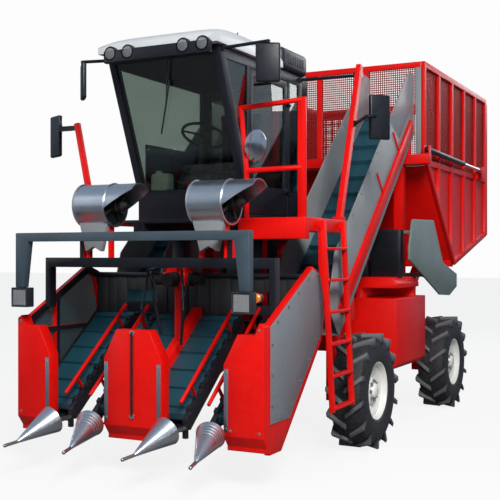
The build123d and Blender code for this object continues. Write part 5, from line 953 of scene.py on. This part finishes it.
# Washer bottle on its stand behind the windscreen
bottle, stand = bmesh.new(), bmesh.new()
box(bottle, (-0.425, -2.125, 2.285), (-0.245, -2.005, 2.455), 0.028, segments=3)
turned(
    bottle, [(0.0, 0.030), (0.024, 0.030), (0.028, 0.026), (0.028, 0.0)], (-0.37, -2.065, 2.452), (0, 0, 1),
    24,
)
flat_bar(stand, (-0.335, -2.065, 2.068), (-0.335, -2.065, 2.287), 0.12, 0.008)
place_piece(bottle, "washer_bottle", milky_polyethylene, "chassis")
place_piece(stand, "washer_stand", black_enamel, "chassis")

# Steering: a soft-rimmed wheel on its column, and the console round the foot
handwheel, column = bmesh.new(), bmesh.new()
boss, tilt = Vector((0, -1.925, 2.786)), Vector((0, 0.45, 0.9)).normalized()
grip = [(0.013 * sin(2 * pi * k / 12), 0.190 + 0.013 * cos(2 * pi * k / 12)) for k in range(13)]
turned(handwheel, grip, boss, tilt, 56)
turned(
    handwheel, [(-0.02, 0.0), (-0.02, 0.035), (0.008, 0.045), (0.016, 0.030), (0.018, 0.0)], boss, tilt, 32,
)
across, away = Vector((1, 0, 0)), tilt.cross(Vector((1, 0, 0)))
for angle in (90, 210, 330):
    out = across * cos(radians(angle)) + away * sin(radians(angle))
    tube(handwheel, boss + out * 0.03, boss + out * 0.185, 0.010, 0.008, 12)
tube(column, (0, -2.01, 2.07), boss - tilt * 0.02, 0.040, 0.026, 24)
box(column, (-0.16, -2.11, 2.068), (0.16, -1.93, 2.44), 0.03, segments=3)
box(column, (-0.11, -2.10, 2.43), (0.11, -1.97, 2.52), 0.02, segments=3)
place_piece(handwheel, "steering_wheel", black_rubber, "chassis", ["steering_column"])
place_piece(column, "steering_console", grained_plastic, "chassis", ["steering_column"])

# Seat: two sewn pads, blown up by pressure inside their cloth, on a plastic pedestal
sewn_pad("seat_cushion", (-0.24, -1.72, 2.37), (0.24, -1.24, 2.49), Vector((0, 0, 1)))
sewn_pad("seat_back", (-0.23, -1.29, 2.49), (0.23, -1.17, 3.09), Vector((0, -1, 0)))
pedestal = bmesh.new()
box(pedestal, (-0.15, -1.56, 2.068), (0.15, -1.26, 2.33), 0.02, segments=3)
box(pedestal, (-0.21, -1.68, 2.325), (0.21, -1.25, 2.386), 0.015)
box(pedestal, (-0.06, -1.25, 2.36), (0.06, -1.20, 2.56), 0.012)
place_piece(pedestal, "seat_pedestal", grained_plastic, "chassis", ["seat"])

# Under the bin, on both sides of the engine: an air cleaner on its box, a radiator box with a grille
# and the cap of the tank
cans, caps = bmesh.new(), bmesh.new()
for side in (1, -1):
    turned(
        cans, [(0.0, 0.0), (0.0, 0.105), (0.006, 0.112), (0.030, 0.112), (0.034, 0.105), (0.360, 0.105),
        (0.366, 0.112), (0.390, 0.112), (0.410, 0.080), (0.412, 0.0)], (side * 0.62, -0.05, 1.78),
        (0, 1, 0), 40,
    )
    box(cans, (side * 0.62 - 0.20, -0.02, 1.50), (side * 0.62 + 0.20, 0.34, 1.69), 0.02)
    turned(
        caps, [(0.0, 0.0), (0.0, 0.045), (0.020, 0.045), (0.026, 0.038), (0.026, 0.0)],
        (side * 0.98, 0.40, 1.52), (0, 0, 1), 32,
    )
    low_x, high_x = sorted((side * 0.84, side * 1.16))
    box(cans, (low_x, 0.00, 1.515), (high_x, 0.10, 2.00), 0.012)
    for z in [1.55 + 0.022 * k for k in range(20)]:
        box(cans, (low_x + 0.03, -0.006, z), (high_x - 0.03, 0.004, z + 0.008))
place_piece(cans, "air_cleaners", black_enamel, "chassis")
place_piece(caps, "tank_caps", grained_plastic, "chassis")

# Stage: a wide pale floor, a soft key from the left front, a fill and a pale sky
floor_bm = bmesh.new()
bmesh.ops.create_grid(floor_bm, x_segments=1, y_segments=1, size=60)
floor_mesh = bpy.data.meshes.new("floor")
floor_bm.to_mesh(floor_mesh)
floor_bm.free()
floor = bpy.data.objects.new("floor", floor_mesh)
bpy.context.scene.collection.objects.link(floor)
pale_floor, tree, shader, place = surface("pale_floor")
shade = add(tree, "TexNoise", {"Vector": place, "Scale": 0.5})
ray = add(tree, "LightPath")
tone = add(tree, "Mix", {0: shade, 6: srgb("F4F4F4"), 7: srgb("EFEFEF")}, data_type="RGBA")
cast = add(tree, "Mix", {0: ray.outputs["Is Camera Ray"], 6: srgb("8E8E8E"), 7: tone}, data_type="RGBA")
wire(tree, shader, {"Base Color": cast, "Roughness": 0.9, "Specular IOR Level": 0.1})
seen = add(tree, "Math", {0: ray.outputs["Is Camera Ray"], 1: 0.86}, operation="MULTIPLY")
glow = add(tree, "Emission", {"Color": srgb("FFFFFF"), "Strength": 1.0})
both = add(tree, "MixShader", {0: seen, 1: shader, 2: glow})
wire(tree, tree.nodes["Material Output"], {"Surface": both})
floor_mesh.materials.append(pale_floor)

world = bpy.data.worlds.new("studio")
bpy.context.scene.world = world
world.use_nodes = True
tree = world.node_tree
ray = add(tree, "LightPath")
shown = add(
    tree, "Math", {0: ray.outputs["Is Camera Ray"], 1: ray.outputs["Is Transmission Ray"]},
    operation="MAXIMUM",
)
ambient = add(tree, "MapRange", {"Value": ray.outputs["Is Glossy Ray"], "To Min": 0.28, "To Max": 0.68})
level = add(tree, "MapRange", {"Value": shown, "To Min": ambient, "To Max": 0.98})
sky = add(tree, "Mix", {0: shown, 6: srgb("AEC2DC"), 7: srgb("FFFFFF")}, data_type="RGBA")
wire(tree, tree.nodes["Background"], {"Color": sky, "Strength": level})

for name, at, aim, watts, size in [
    ("key", (6.4, -9.6, 7.6), (0.3, -1.5, 1.4), 1300.0, 3.5),
    ("fill", (-8.0, -7.0, 5.0), (0.0, -1.0, 1.6), 120.0, 6.0),
    ("rear", (3.0, 9.0, 7.0), (0.0, 1.0, 2.0), 250.0, 5.0),
]:
    lamp = bpy.data.lights.new(name, "AREA")
    lamp.energy = watts
    lamp.size = size
    held = bpy.data.objects.new(name, lamp)
    bpy.context.scene.collection.objects.link(held)
    held.location = at
    held.rotation_euler = (Vector(aim) - Vector(at)).to_track_quat("-Z", "Y").to_euler()

camera_data = bpy.data.cameras.new("camera")
camera_data.sensor_width = 36.0
camera_data.lens = 67.7
camera_data.shift_y = 0.008
camera_data.clip_end = 200.0
camera = bpy.data.objects.new("camera", camera_data)
bpy.context.scene.collection.objects.link(camera)
camera.location = (4.10, -9.06, 1.75)
camera.rotation_euler = (radians(90), 0, radians(27.07))
bpy.context.scene.camera = camera
bpy.context.scene.view_settings.view_transform = "Standard"
